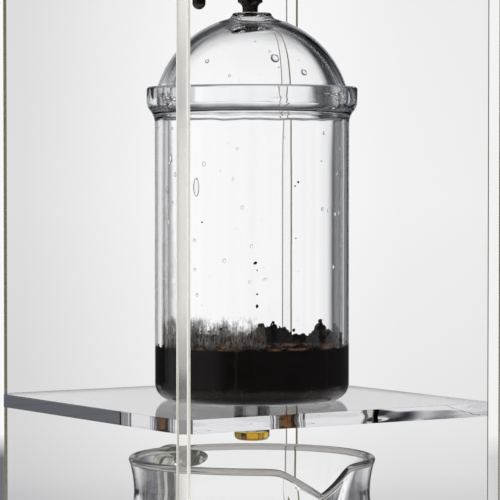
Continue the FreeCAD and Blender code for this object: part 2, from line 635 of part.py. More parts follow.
def vessel_lid():
    """Glass lid with a crown above and a plug that stands in the neck."""
    bore = LID_SCREW_RADIUS + SCREW_FIT
    plug = VESSEL_MOUTH - LID_PLUG_CLEARANCE
    plug_inside = plug - LID_PLUG_WALL
    top = LID_CROWN + LID_THICKNESS
    under_curve = tangent_curve(LID_CROWN, plug_inside - LID_PAD_RADIUS)
    over_curve = tangent_curve(LID_CROWN, LID_RADIUS - LID_PAD_RADIUS)
    outline = Outline(bore, LID_CROWN).to(LID_PAD_RADIUS, LID_CROWN)
    outline.bend(plug_inside, 0, under_curve, LEFT).to(plug_inside, -LID_PLUG_DEPTH)
    outline.to(plug, -LID_PLUG_DEPTH).to(plug, 0).to(LID_RADIUS, 0).to(LID_RADIUS, LID_THICKNESS)
    outline.bend(LID_PAD_RADIUS, top, over_curve, RIGHT).to(bore, top)
    return outline.revolve(LID_PLACE)


def lid_knob():
    """Turned knob, drilled from below for its screw."""
    foot = LID_CROWN + LID_THICKNESS
    top = foot + KNOB_HEIGHT
    bore = LID_SCREW_RADIUS + SCREW_FIT
    depth = foot + LID_SCREW_LENGTH + PILOT_SPARE
    outline = Outline(bore, foot).to(KNOB_NECK_RADIUS, foot).to(KNOB_NECK_RADIUS, foot + KNOB_NECK_HEIGHT)
    outline.to(KNOB_RADIUS, foot + KNOB_NECK_HEIGHT + KNOB_ROUND).to(KNOB_RADIUS, top - KNOB_ROUND)
    outline.bend(KNOB_RADIUS - KNOB_ROUND, top, KNOB_ROUND, RIGHT).to(0, top).to(0, depth).to(bore, depth)
    return outline.revolve(LID_PLACE)


def lid_screw():
    """Pan-head screw up through the lid into the knob."""
    head_low = LID_CROWN - LID_SCREW_HEAD
    tip = LID_CROWN + LID_THICKNESS + LID_SCREW_LENGTH
    head = rod(LID_SCREW_HEAD_RADIUS, head_low, LID_CROWN, LID_PLACE)
    return head.fuse(rod(LID_SCREW_RADIUS, LID_CROWN, tip, LID_PLACE)).removeSplitter()


# ---- drip valve pieces -----------------------------------------------------------------

def valve_body():
    """Stopcock body: shank, round barrel, cross housing for the spindle and a foot for the nozzle."""
    body = rod(VALVE_RADIUS, VALVE_BOTTOM, VALVE_TOP, VESSEL_AXIS)
    body = body.fuse(rod(SHANK_RADIUS, VALVE_TOP, NUT_TOP + SHANK_SPARE, VESSEL_AXIS))
    body = body.fuse(rod(VALVE_FOOT_RADIUS, FOOT_BOTTOM, VALVE_BOTTOM, VESSEL_AXIS))
    body = body.fuse(cross_rod(HOUSING_RADIUS, -HOUSING_FRONT, SPINDLE_BACK + HOUSING_END, SPINDLE_HEIGHT))
    body = body.removeSplitter()
    bore = SPINDLE_RADIUS + RUNNING_FIT
    body = body.cut(cross_rod(bore, -HOUSING_FRONT, SPINDLE_BACK + RUNNING_FIT, SPINDLE_HEIGHT))
    body = body.cut(rod(WATERWAY_RADIUS, FOOT_BOTTOM, NUT_TOP + SHANK_SPARE, VESSEL_AXIS))
    socket = NOZZLE_SHANK_RADIUS + SCREW_FIT
    return body.cut(rod(socket, FOOT_BOTTOM, FOOT_BOTTOM + NOZZLE_SHANK_LENGTH + PILOT_SPARE, VESSEL_AXIS))


def valve_washers():
    """Soft washers under and over the vessel's floor."""
    rings = []
    for low in (VALVE_TOP, VESSEL_FLOOR):
        ring = rod(WASHER_RADIUS, low, low + WASHER_THICKNESS, VESSEL_AXIS)
        rings.append(ring.cut(rod(SHANK_RADIUS + SCREW_FIT, low, low + WASHER_THICKNESS, VESSEL_AXIS)))
    return Part.Compound(rings)


def valve_nut():
    """Hexagon nut that clamps the valve to the vessel's floor."""
    place = VESSEL_AXIS + V(0, 0, VESSEL_FLOOR + WASHER_THICKNESS)
    nut = hexagon(NUT_FLATS, NUT_THICKNESS, place, UP)
    return nut.cut(rod(SHANK_RADIUS + SCREW_FIT, 0, NUT_THICKNESS, place))


def valve_spindle():
    """Turning plug with its waterway, and the stem that carries the lever."""
    shoulder = -(HOUSING_FRONT - PACKING_THICKNESS)
    end = -(LEVER_OFFSET + HUB_LENGTH / 2)
    plug = cross_rod(SPINDLE_RADIUS, shoulder, SPINDLE_BACK, SPINDLE_HEIGHT)
    plug = plug.fuse(cross_rod(STEM_RADIUS, end, shoulder, SPINDLE_HEIGHT)).removeSplitter()
    low = SPINDLE_HEIGHT - SPINDLE_RADIUS
    waterway = rod(WATERWAY_RADIUS, low, low + 2 * SPINDLE_RADIUS, VESSEL_AXIS)
    depth = LEVER_SCREW_LENGTH + PILOT_SPARE
    pilot = cross_rod(LEVER_SCREW_RADIUS + SCREW_FIT, end, end + depth, SPINDLE_HEIGHT)
    return plug.cut(waterway).cut(pilot)


def packing_ring():
    """Soft ring round the stem, held in the housing's mouth."""
    inward = PACKING_THICKNESS - HOUSING_FRONT
    inner = cross_rod(STEM_RADIUS + RUNNING_FIT, -HOUSING_FRONT, inward, SPINDLE_HEIGHT)
    return cross_rod(SPINDLE_RADIUS, -HOUSING_FRONT, inward, SPINDLE_HEIGHT).cut(inner)


def gland_nut():
    """Hexagon nut over the housing's mouth, with a running hole for the stem."""
    place = V(-HOUSING_FRONT, VESSEL_Y, SPINDLE_HEIGHT)
    nut = hexagon(GLAND_FLATS, GLAND_THICKNESS, place, V(-1, 0, 0))
    hole = STEM_RADIUS + RUNNING_FIT
    return nut.cut(cross_rod(hole, -HOUSING_FRONT - GLAND_THICKNESS, -HOUSING_FRONT, SPINDLE_HEIGHT))


def valve_lever():
    """Round-ended rod that hangs from a hub on the stem."""
    outer_face = -LEVER_OFFSET - HUB_LENGTH / 2
    hub = cross_rod(HUB_RADIUS, outer_face, outer_face + HUB_LENGTH, SPINDLE_HEIGHT)
    top = V(-LEVER_OFFSET, VESSEL_Y, SPINDLE_HEIGHT)
    straight = LEVER_LENGTH - LEVER_ROD
    arm = rod(LEVER_ROD, -straight, 0, top)
    tip = Part.makeSphere(LEVER_ROD, top - V(0, 0, straight))
    lever = hub.fuse(arm).fuse(tip).removeSplitter()
    hole = STEM_RADIUS + SCREW_FIT
    return lever.cut(cross_rod(hole, outer_face, outer_face + HUB_LENGTH, SPINDLE_HEIGHT))


def lever_screw():
    """Pan-head screw into the stem's end that keeps the lever on."""
    face = -(LEVER_OFFSET + HUB_LENGTH / 2)
    head = cross_rod(LEVER_SCREW_HEAD, face - LEVER_SCREW_HEAD_HEIGHT, face, SPINDLE_HEIGHT)
    shank = cross_rod(LEVER_SCREW_RADIUS, face, face + LEVER_SCREW_LENGTH, SPINDLE_HEIGHT)
    return head.fuse(shank).removeSplitter()


def drip_nozzle():
    """Flanged tube that the drops fall from, screwed into the valve's foot."""
    flange_low = -NOZZLE_FLANGE
    tip = flange_low - NOZZLE_LENGTH
    outline = Outline(NOZZLE_BORE, tip).to(NOZZLE_RADIUS - NOZZLE_ROUND, tip)
    outline.bend(NOZZLE_RADIUS, tip + NOZZLE_ROUND, NOZZLE_ROUND, RIGHT)
    outline.to(NOZZLE_RADIUS, flange_low - NOZZLE_CONE).to(NOZZLE_FLANGE_RADIUS, flange_low)
    outline.to(NOZZLE_FLANGE_RADIUS, 0).to(NOZZLE_SHANK_RADIUS, 0)
    outline.to(NOZZLE_SHANK_RADIUS, NOZZLE_SHANK_LENGTH).to(NOZZLE_BORE, NOZZLE_SHANK_LENGTH)
    return outline.revolve(VESSEL_AXIS + V(0, 0, FOOT_BOTTOM))


# ---- build ----------------------------------------------------------------------

pieces = {
    "base_plate": base_plate(),
    "foot_pads": Part.Compound([foot_pad(place) for place in corners(FOOT_OFFSET).values()]),
    "middle_shelf": middle_shelf(),
    "top_shelf": top_shelf(),
    "base_screws": Part.Compound([base_screw(place) for place in POST_PLACES.values()]),
    "top_screws": Part.Compound([top_screw(place) for place in POST_PLACES.values()]),
    "vessel_seat_ring": vessel_seat_ring(),
    "brew_chamber": brew_chamber(),
    "filter_disc": filter_disc(),
    "filter_gasket": filter_gasket(),
    "coffee_bed": coffee_bed(),
    "brewed_coffee": brewed_coffee(),
    "dome_lid": dome_lid(),
    "carafe": carafe(),
    "carafe_handle": carafe_handle(),
    "water_vessel": water_vessel(),
    "vessel_lid": vessel_lid(),
    "lid_knob": lid_knob(),
    "lid_screw": lid_screw(),
    "valve_body": valve_body(),
    "valve_washers": valve_washers(),
    "valve_nut": valve_nut(),
    "valve_spindle": valve_spindle(),
    "packing_ring": packing_ring(),
    "gland_nut": gland_nut(),
    "valve_lever": valve_lever(),
    "lever_screw": lever_screw(),
    "drip_nozzle": drip_nozzle(),
}
for name, place in POST_PLACES.items():
    pieces["post_" + name] = post(place)

os.makedirs("parts", exist_ok=True)
for name, shape in pieces.items():
    shape.exportStep("parts/" + name + ".step")
    box = shape.BoundBox
    print(f"{name}: {len(shape.Solids)} solid(s), {shape.Volume:.0f} mm3, valid {shape.isValid()}, "
          f"z {box.ZMin:.1f} to {box.ZMax:.1f}")
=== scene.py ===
"""Cold drip coffee tower: its glass, acrylic, metal and coffee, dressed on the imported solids.

Sizes are in millimetres until a mesh is made. +Z is up, -Y is the side that the carafe pours to, and
heights count from the surface that the feet stand on.
"""
import logging
import math
import random
from collections.abc import Callable, Sequence
from dataclasses import dataclass
from enum import Enum

import bmesh
import bpy
from bmesh.types import BMesh, BMVert
from bpy.types import Material, MeshPolygon, Node, NodeSocket, NodeTree, Object
from mathutils import Matrix, Vector, noise


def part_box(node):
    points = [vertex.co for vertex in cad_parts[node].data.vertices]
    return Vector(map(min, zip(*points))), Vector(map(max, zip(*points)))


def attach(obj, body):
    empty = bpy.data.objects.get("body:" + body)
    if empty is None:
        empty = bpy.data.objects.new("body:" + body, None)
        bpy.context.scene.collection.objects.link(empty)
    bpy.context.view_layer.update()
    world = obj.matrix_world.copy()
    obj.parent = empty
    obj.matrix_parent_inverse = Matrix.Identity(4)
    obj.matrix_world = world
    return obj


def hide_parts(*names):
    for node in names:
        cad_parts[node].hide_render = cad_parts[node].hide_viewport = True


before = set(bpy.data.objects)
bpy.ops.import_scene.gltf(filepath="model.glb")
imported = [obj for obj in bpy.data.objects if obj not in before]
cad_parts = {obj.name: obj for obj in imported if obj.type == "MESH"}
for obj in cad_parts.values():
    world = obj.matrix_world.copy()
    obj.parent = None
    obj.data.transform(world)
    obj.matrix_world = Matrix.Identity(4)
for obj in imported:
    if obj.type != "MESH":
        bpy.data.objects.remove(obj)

LOG = logging.getLogger("tower")
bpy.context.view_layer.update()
MM = 0.001
FULL_TURN = 2 * math.pi
GLASS_IOR = 1.473               # borosilicate
ACRYLIC_IOR = 1.49
WATER_IOR = 1.333
COFFEE_IOR = 1.335
CREASE = math.radians(32)       # edges sharper than this stay crisp
ROUND_STEPS = 224               # facets round a large glass
SMALL_STEPS = 72                # facets round a small turned part
POSTS = ("post_front_left", "post_front_right", "post_back_left", "post_back_right")

Loop = list[Vector]
Pair = tuple[float, float]
Feed = float | str | Sequence[float] | NodeSocket | Node
Stops = tuple[Pair, ...]        # degrees and brightness


class Side(Enum):
    """Which side of its way an arc bulges to."""

    LEFT = 1
    RIGHT = -1


# ---- shapes --------------------------------------------------------------------------------------


class Outline:
    """A line through radius and height points, drawn edge by edge."""

    def __init__(self, radius: float, height: float) -> None:
        """Put the pen down."""
        self.points: list[Pair] = [(radius, height)]

    def to(self, radius: float, height: float, steps: int = 1) -> "Outline":
        """Draw a straight edge.

        Args:
            radius: Where it ends, from the axis.
            height: Where it ends, upward.
            steps: Into how many pieces the edge is divided.

        Returns:
            The same outline.
        """
        start = self.points[-1]
        for step in range(1, steps + 1):
            part = step / steps
            here = (start[0] + (radius - start[0]) * part, start[1] + (height - start[1]) * part)
            self.points.append(here)
        return self

    def bend(self, radius: float, height: float, curve: float, side: Side, steps: int = 8) -> "Outline":
        """Draw the shorter arc to a point.

        Args:
            radius: Where it ends, from the axis.
            height: Where it ends, upward.
            curve: Radius of the arc.
            side: The side that it bulges to.
            steps: Number of straight pieces that stand for the arc.

        Returns:
            The same outline.
        """
        start = Vector(self.points[-1])
        chord = Vector((radius, height)) - start
        half = chord.length / 2
        across = Vector((-chord.y, chord.x)).normalized() * side.value
        centre = start + chord / 2 - across * math.sqrt(max(curve * curve - half * half, 0.0))
        arm = start - centre
        sweep = -side.value * 2 * math.asin(min(half / curve, 1.0))
        for step in range(1, steps + 1):
            spoke = Matrix.Rotation(sweep * step / steps, 2) @ arm
            self.points.append(tuple(centre + spoke))
        return self

    def ogee(self, radius: float, height: float, steps: int = 12) -> "Outline":
        """Draw an S-curve that leaves and arrives parallel to the axis.

        Args:
            radius: Where it ends, from the axis.
            height: Where it ends, upward.
            steps: Number of straight pieces in each half.

        Returns:
            The same outline.
        """
        start = self.points[-1]
        run = radius - start[0]
        climb = height - start[1]
        curve = (run * run + climb * climb) / (4 * abs(run))
        first = Side.LEFT if run * climb > 0 else Side.RIGHT
        second = Side.RIGHT if first is Side.LEFT else Side.LEFT
        self.bend(start[0] + run / 2, start[1] + climb / 2, curve, first, steps)
        return self.bend(radius, height, curve, second, steps)


def publish(form: BMesh, name: str) -> Object:
    """Turn a finished form into an object of the scene.

    Args:
        form: The form, whose points are in metres. It is freed.
        name: Name of the object.

    Returns:
        The object, smooth but for its creases.
    """
    bmesh.ops.remove_doubles(form, verts=form.verts, dist=1e-7)
    bmesh.ops.recalc_face_normals(form, faces=form.faces)
    mesh = bpy.data.meshes.new(name)
    form.to_mesh(mesh)
    form.free()
    mesh.shade_smooth()
    mesh.set_sharp_from_angle(angle=CREASE)
    piece = bpy.data.objects.new(name, mesh)
    bpy.context.scene.collection.objects.link(piece)
    return piece


def skin(form: BMesh, loops: Sequence[Loop], ring: bool = False) -> None:
    """Stretch a skin over a run of closed loops that have as many points each.

    Args:
        form: The form that gets the skin, in metres.
        loops: The loops, in millimetres.
        ring: Whether the last loop joins the first; otherwise both ends are closed with a face.
    """
    rows = [[form.verts.new(point * MM) for point in loop] for loop in loops]
    pairs = list(zip(rows, rows[1:]))
    if ring:
        pairs.append((rows[-1], rows[0]))
    else:
        form.faces.new(list(reversed(rows[0])))
        form.faces.new(rows[-1])
    for lower, upper in pairs:
        for index in range(len(lower)):
            after = (index + 1) % len(lower)
            form.faces.new((lower[index], lower[after], upper[after], upper[index]))


def angles(steps: int) -> list[float]:
    """Angles all the way round, in even steps."""
    return [FULL_TURN * step / steps for step in range(steps)]


def turned_loops(outline: Outline, steps: int, place: Matrix) -> list[Loop]:
    """Turn an outline about the axis of a place.

    Args:
        outline: The outline in radius and height.
        steps: Facets round the axis.
        place: Where the outline's foot is and which way its axis points, in millimetres.

    Returns:
        One loop for each point of the outline.
    """
    loops = []
    for radius, height in outline.points:
        reach = max(radius, 0.0)
        loops.append([place @ Vector((reach * math.cos(angle), reach * math.sin(angle), height))
                      for angle in angles(steps)])
    return loops


def upright(centre: Pair, height: float) -> Matrix:
    """Place whose axis points up."""
    return Matrix.Translation((centre[0], centre[1], height))


def crosswise(centre: Pair, height: float) -> Matrix:
    """Place whose axis points along -X, as the valve's stem does."""
    return upright(centre, height) @ Matrix.Rotation(-math.pi / 2, 4, "Y")


def shaped(name: str, loops: Sequence[Loop], ring: bool = False) -> Object:
    """Make a piece of a skin over loops.

    Args:
        name: Name of the object.
        loops: The loops, in millimetres.
        ring: Whether the last loop joins the first; otherwise both ends are closed with a face.

    Returns:
        The object.
    """
    form = bmesh.new()
    skin(form, loops, ring)
    return publish(form, name)


def turned(name: str, outline: Outline, place: Matrix, steps: int = ROUND_STEPS, ring: bool = True) -> Object:
    """Make a turned piece.

    Args:
        name: Name of the object.
        outline: Its outline, closed by itself where ring is set.
        place: Its axis and foot.
        steps: Facets round the axis.
        ring: Whether the outline's end joins its start.

    Returns:
        The object.
    """
    return shaped(name, turned_loops(outline, steps, place), ring)


def regular_loop(sides: int, flats: float, steps: int, place: Matrix) -> Loop:
    """Loop of a regular polygon, with its corners among evenly numbered points.

    Args:
        sides: Number of flats.
        flats: Size across the flats.
        steps: Points in the loop.
        place: Its middle and axis.

    Returns:
        The loop.
    """
    loop = []
    for angle in angles(steps):
        off_flat = (angle + math.pi / sides) % (FULL_TURN / sides) - math.pi / sides
        reach = flats / 2 / math.cos(off_flat)
        loop.append(place @ Vector((reach * math.cos(angle), reach * math.sin(angle), 0)))
    return loop


def level(node: str) -> Pair:
    """Foot and top of a CAD node."""
    low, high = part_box(node)
    return low[2] / MM, high[2] / MM


def middle(node: str) -> Pair:
    """Middle of a CAD node in plan."""
    low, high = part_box(node)
    return (low[0] + high[0]) / 2 / MM, (low[1] + high[1]) / 2 / MM


def set_on(piece: Object, body: str, finish: Material, slot: str, *nodes: str) -> None:
    """Dress a piece, let it ride, and let it stand for CAD nodes.

    Args:
        piece: The piece, in its place.
        body: The CAD body that it moves with.
        finish: Its material.
        slot: The record's slot of that material; not used.
        *nodes: The CAD nodes that it stands for.
    """
    piece.data.materials.clear()
    piece.data.materials.append(finish)
    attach(piece, body)
    if nodes:
        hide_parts(*nodes)
    LOG.info("%s rides on %s, finished in %s", piece.name, body, finish.name)


def finish_faces(piece: Object, finish: Material, chosen: Callable[[MeshPolygon], bool]) -> None:
    """Give some faces of a dressed piece a finish of their own.

    Args:
        piece: The piece.
        finish: The material of those faces.
        chosen: Says whether a face is one of them.
    """
    piece.data.materials.append(finish)
    for face in piece.data.polygons:
        face.material_index = int(chosen(face))


def dress_node(node: str, finish: Material) -> None:
    """Give a CAD node that stays in view its finish.

    Args:
        node: The node.
        finish: Its material.
    """
    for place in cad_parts[node].material_slots:
        place.material = finish
    LOG.info("%s stays as it is, finished in %s", node, finish.name)


# ---- finishes ------------------------------------------------------------------------------------


def colour(code: str) -> tuple[float, float, float, float]:
    """Turn an sRGB hex code to a linear colour.

    Args:
        code: The code, such as "c8a060".

    Returns:
        Red, green, blue and an alpha of 1.
    """
    values = []
    for start in (0, 2, 4):
        share = int(code[start:start + 2], 16) / 255
        values.append(share / 12.92 if share <= 0.04045 else ((share + 0.055) / 1.055) ** 2.4)
    return (*values, 1.0)


def add(tree: NodeTree, kind: str, *feeds: Feed, **settings: Feed) -> Node:
    """Add a node with its settings and links.

    Args:
        tree: The tree that gets it.
        kind: Blender's type name, after the ShaderNode that they all start with.
        *feeds: What its first inputs get: a plain value, a socket, or a node that feeds it through its
            first output.
        **settings: The same by input name, with underscores for spaces, or a property's value.

    Returns:
        The node.
    """
    node = tree.nodes.new("ShaderNode" + kind)
    for key, value in (*enumerate(feeds), *settings.items()):
        place = key.replace("_", " ") if isinstance(key, str) else key
        if isinstance(value, Node):
            value = value.outputs[0]
        if isinstance(value, NodeSocket):
            tree.links.new(value, node.inputs[place])
        elif isinstance(place, int) or place in node.inputs:
            node.inputs[place].default_value = value
        else:
            setattr(node, key, value)
    return node


def per_metre(size_mm: float) -> float:
    """Texture scale whose features are about size_mm large."""
    return 1 / (size_mm * MM)


@dataclass(frozen=True)
class Finish:
    """What all finishes share: a name and the making of a material from a surface and an inside."""

    name: str

    def surface(self, tree: NodeTree, place: NodeSocket) -> Node:
        """Shader of the surface, which each finish has its own of.

        Args:
            tree: The material's tree.
            place: Object coordinates.

        Returns:
            The shader.
        """
        raise NotImplementedError(self.name)

    def inside(self, tree: NodeTree) -> dict[str, Node]:
        """What light meets on its way through, where it gets through."""
        return {}

    def material(self) -> Material:
        """Make the material.

        Returns:
            The material, with patterns laid out in object coordinates.
        """
        material = bpy.data.materials.new(self.name)
        material.use_nodes = True
        tree = material.node_tree
        tree.nodes.clear()
        place = add(tree, "TexCoord").outputs["Object"]
        add(tree, "OutputMaterial", Surface=self.surface(tree, place), **self.inside(tree))
        return material


@dataclass(frozen=True)
class ClearFinish(Finish):
    """A clear material: light goes on through it to what stands behind, also as shadow light."""

    tint: str
    ior: float
    ripple_mm: float            # length of the waves that its making left in the surface
    ripple_depth_mm: float
    soak_tint: str              # colour of light that came a long way through it
    soak_per_metre: float
    shadow: str                 # colour of its shadow
    clarity: float = 1.0        # the rest scatters, as on sawn or ground faces
    mirror: str = "a8a8a8"      # what faces head-on throw back; a wet or greasy film keeps it low
    ripple_squash: float = 1.0  # how much lower than long the waves are
    handling_mm: float = 9.0    # size of the patches that handling left

    def normal(self, tree: NodeTree, place: NodeSocket) -> Node:
        """Surface waves.

        Args:
            tree: The material's tree.
            place: Object coordinates.

        Returns:
            The node of the normal.
        """
        waves = add(
            tree, "TexNoise", Scale=per_metre(self.ripple_mm), Detail=1.0, Roughness=0.4,
            Vector=add(tree, "Mapping", Scale=(1.0, 1.0, self.ripple_squash), Vector=place))
        return add(tree, "Bump", Strength=1.0, Distance=self.ripple_depth_mm * MM, Height=waves)

    def roughness(self, tree: NodeTree, place: NodeSocket) -> Node:
        """Faint film of handling and dried water, patchy.

        Args:
            tree: The material's tree.
            place: Object coordinates.

        Returns:
            The node of the roughness.
        """
        return add(
            tree, "MapRange", From_Min=0.5, From_Max=0.8, To_Min=0.0, To_Max=0.03, Value=add(
                tree, "TexNoise", Scale=per_metre(self.handling_mm), Detail=4.0, Roughness=0.6, Vector=place))

    def clearness(self, tree: NodeTree, place: NodeSocket) -> Node | None:
        """Share of the light that goes on through, where it changes from place to place."""
        return None

    def surface(self, tree: NodeTree, place: NodeSocket) -> Node:
        """Glassy body for what is looked at, and a plain tint for shadows and stray light.

        Args:
            tree: The material's tree.
            place: Object coordinates.

        Returns:
            The shader.
        """
        body = add(
            tree, "BsdfPrincipled",
            Base_Color=colour(self.tint), IOR=self.ior, Transmission_Weight=self.clarity,
            Specular_Tint=colour(self.mirror), Normal=self.normal(tree, place),
            Roughness=self.roughness(tree, place))
        share = self.clearness(tree, place)
        if share:
            tree.links.new(share.outputs[0], body.inputs["Transmission Weight"])
        ray = add(tree, "LightPath").outputs
        stray = add(tree, "Math", ray["Is Shadow Ray"], ray["Is Diffuse Ray"], operation="MAXIMUM")
        return add(
            tree, "MixShader", stray, body, add(tree, "BsdfTransparent", Color=colour(self.shadow)))

    def inside(self, tree: NodeTree) -> dict[str, Node]:
        """The tint that light takes on over a long way."""
        if not self.soak_per_metre:
            return {}
        return {"Volume": add(
            tree, "VolumeAbsorption", Color=colour(self.soak_tint), Density=self.soak_per_metre)}


@dataclass(frozen=True)
class SawnAcrylic(ClearFinish):
    """Bars sawn from cast sheet: the saw's fine marks across the bar smear what is seen along it."""

    mark_tilt: float = 0.3      # how far the marks tip the surface, as a slope
    mark_mm: float = 0.05
    clear_below: float = 174.0  # under this height the bar is as good as polished
    marked_above: float = 184.0
    polished_share: float = 0.87

    def marked(self, tree: NodeTree, place: NodeSocket, none: float, full: float) -> Node:
        """A value that goes from none, where the bar is clear, to full, where it is marked."""
        return add(
            tree, "MapRange", interpolation_type="SMOOTHSTEP", From_Min=self.clear_below * MM,
            From_Max=self.marked_above * MM, To_Min=none, To_Max=full,
            Value=add(tree, "SeparateXYZ", Vector=place).outputs["Z"])

    def clearness(self, tree: NodeTree, place: NodeSocket) -> Node:
        """Share of the light that goes on through."""
        return self.marked(tree, place, self.polished_share, self.clarity)

    def normal(self, tree: NodeTree, place: NodeSocket) -> Node:
        """Normal tipped up or down from mark to mark.

        Args:
            tree: The material's tree.
            place: Object coordinates.

        Returns:
            The node of the normal.
        """
        spots = add(tree, "VectorMath", place, operation="SCALE", Scale=per_metre(self.mark_mm))
        slope = add(
            tree, "MapRange", From_Min=0.0, From_Max=1.0, To_Min=-self.mark_tilt, To_Max=self.mark_tilt,
            Value=add(tree, "TexWhiteNoise", noise_dimensions="3D", Vector=spots))
        rise = add(tree, "Math", slope, self.marked(tree, place, 0.0, 1.0), operation="MULTIPLY")
        tipped = add(
            tree, "VectorMath", add(tree, "NewGeometry").outputs["Normal"], add(tree, "CombineXYZ", Z=rise),
            operation="ADD")
        return add(tree, "VectorMath", tipped, operation="NORMALIZE")


@dataclass(frozen=True)
class Silicone(Finish):
    """Moulded translucent silicone: soft, slightly cloudy, with a fine matt skin."""

    tint: str
    cloud_tint: str = "a9a9a4"

    def surface(self, tree: NodeTree, place: NodeSocket) -> Node:
        """Cloudy body with a fine grain on it.

        Args:
            tree: The material's tree.
            place: Object coordinates.

        Returns:
            The shader.
        """
        cloud = add(tree, "TexNoise", Scale=per_metre(6.0), Detail=3.0, Vector=place)
        grain = add(tree, "TexNoise", Scale=per_metre(0.35), Detail=2.0, Vector=place)
        return add(
            tree, "BsdfPrincipled", Roughness=0.48, IOR=1.41, Subsurface_Weight=0.35, Subsurface_Scale=0.004,
            Base_Color=add(
                tree, "MixRGB", Color1=colour(self.tint), Color2=colour(self.cloud_tint), Fac=cloud),
            Normal=add(tree, "Bump", Strength=0.4, Distance=0.03 * MM, Height=grain))


@dataclass(frozen=True)
class TurnedMetal(Finish):
    """Metal from the lathe: fine rings round it, warmer and duller where hands and water have been."""

    tint: str
    worn_tint: str
    metallic: float
    roughness: float
    ring_mm: float
    patch_mm: float = 3.5

    def surface(self, tree: NodeTree, place: NodeSocket) -> Node:
        """Worn patches over the lathe's rings.

        Args:
            tree: The material's tree.
            place: Object coordinates.

        Returns:
            The shader.
        """
        patches = add(
            tree, "TexNoise", Scale=per_metre(self.patch_mm), Detail=5.0, Roughness=0.6, Vector=place)
        rings = add(
            tree, "TexWave", wave_type="BANDS", bands_direction="Z", Scale=per_metre(self.ring_mm) / 20,
            Distortion=1.5, Detail=2.0, Detail_Scale=2.0, Vector=place).outputs["Fac"]
        return add(
            tree, "BsdfPrincipled", Metallic=self.metallic,
            Base_Color=add(
                tree, "MixRGB", Color1=colour(self.tint), Color2=colour(self.worn_tint),
                Fac=add(tree, "MapRange", From_Min=0.45, From_Max=0.7, Value=patches)),
            Roughness=add(
                tree, "MapRange", To_Min=self.roughness - 0.06, To_Max=self.roughness + 0.14, Value=patches),
            Normal=add(tree, "Bump", Strength=0.3, Distance=0.02 * MM, Height=rings))


@dataclass(frozen=True)
class SinteredCeramic(Finish):
    """Filter of sintered ceramic grit: matt, cream, with open pores between the grains, painted darker as
    shade in them.
    """

    tint: str
    grit_mm: float
    # painted shade: the colour of the pores, darker than the grit
    pore_shade_tint: str = "8d8272"

    def surface(self, tree: NodeTree, place: NodeSocket) -> Node:
        """Pale grains with darker pores, where the dark is painted shade.

        Args:
            tree: The material's tree.
            place: Object coordinates.

        Returns:
            The shader.
        """
        grit = add(tree, "TexVoronoi", Scale=per_metre(self.grit_mm), Vector=place)
        return add(
            tree, "BsdfPrincipled", Roughness=0.85,
            Base_Color=add(
                tree, "MixRGB", Color1=colour(self.pore_shade_tint), Color2=colour(self.tint), Fac=grit),
            Normal=add(tree, "Bump", Strength=0.6, Distance=0.2 * MM, Height=grit))


@dataclass(frozen=True)
class WetGrounds(Finish):
    """Soaked ground coffee: nearly black and glossy below, with a drying brown crust on top and painted amber
    glints low down.
    """

    wet: str
    crust: str
    crust_foot: float           # height where the crust begins
    crust_top: float
    grain_mm: float
    depth_tint: str = "1c0f0a"
    painted_glint: str = "8a5f2c"       # painted glint: light through thin coffee between the grains, against the glass, painted as amber spots
    painted_glint_mm: float = 1.4
    painted_glint_top: float = 169.0
    dry_side: tuple[float, float, float] = (-0.5402, -0.8415, 0.0)  # the side where the bed dries first

    def crusted(self, tree: NodeTree, place: NodeSocket, height: NodeSocket, patch: Node) -> Node:
        """Where the dried crust lies.

        Args:
            tree: The material's tree.
            place: Object coordinates.
            height: Their height.
            patch: Noise that breaks it up.

        Returns:
            The node of its share.
        """
        rising = add(
            tree, "MapRange", From_Min=self.crust_foot * MM, From_Max=(self.crust_foot + 0.7) * MM,
            Value=height)
        falling = add(
            tree, "MapRange", From_Min=self.crust_top * MM, From_Max=(self.crust_top + 1.5) * MM,
            To_Min=1.0, To_Max=0.12, Value=height)
        dry = add(tree, "Math", rising, falling, operation="MULTIPLY")
        fleck = add(tree, "MapRange", From_Min=0.44, From_Max=0.62, Value=patch)
        both = add(tree, "Math", dry, fleck, operation="MULTIPLY")
        towards = add(tree, "VectorMath", place, self.dry_side, operation="DOT_PRODUCT").outputs["Value"]
        near = add(tree, "MapRange", From_Min=0.004, From_Max=0.02, Value=towards)
        return add(tree, "Math", both, near, operation="MULTIPLY")

    def surface(self, tree: NodeTree, place: NodeSocket) -> Node:
        """Black grains under the crust, with painted amber glints low down where light comes through thin
        coffee.

        Args:
            tree: The material's tree.
            place: Object coordinates.

        Returns:
            The shader.
        """
        grain = add(
            tree, "TexNoise", Scale=per_metre(self.grain_mm), Detail=6.0, Roughness=0.7, Vector=place)
        patch = add(tree, "TexNoise", Scale=per_metre(7.0), Detail=3.0, Vector=place)
        height = add(tree, "SeparateXYZ", Vector=place).outputs["Z"]
        shade = add(
            tree, "MixRGB", Color1=colour(self.wet), Color2=colour(self.crust),
            Fac=self.crusted(tree, place, height, patch))
        # Painted glints: amber spots low in the bed stand in for light that comes through thin coffee at the
        # glass.
        spots = add(tree, "TexVoronoi", Scale=per_metre(self.painted_glint_mm), Vector=place)
        deep = add(
            tree, "MapRange", From_Min=self.painted_glint_top * MM, From_Max=(self.painted_glint_top - 8) * MM, Value=height)
        painted_glint = add(
            tree, "Math", add(tree, "MapRange", From_Min=0.26, From_Max=0.1, Value=spots),
            add(tree, "MapRange", From_Min=0.45, From_Max=0.6, Value=patch),
            operation="MULTIPLY")
        shade = add(
            tree, "MixRGB", Color2=colour(self.painted_glint),
            Color1=add(tree, "MixRGB", Color2=colour(self.depth_tint), Color1=shade, Fac=deep),
            Fac=add(tree, "Math", painted_glint, deep, operation="MULTIPLY"))
        return add(
            tree, "BsdfPrincipled", IOR=1.4, Specular_IOR_Level=0.2, Base_Color=shade,
            Roughness=add(tree, "MapRange", To_Min=0.45, To_Max=1.0, Value=grain),
            Normal=add(tree, "Bump", Strength=0.9, Distance=0.5 * MM, Height=grain))


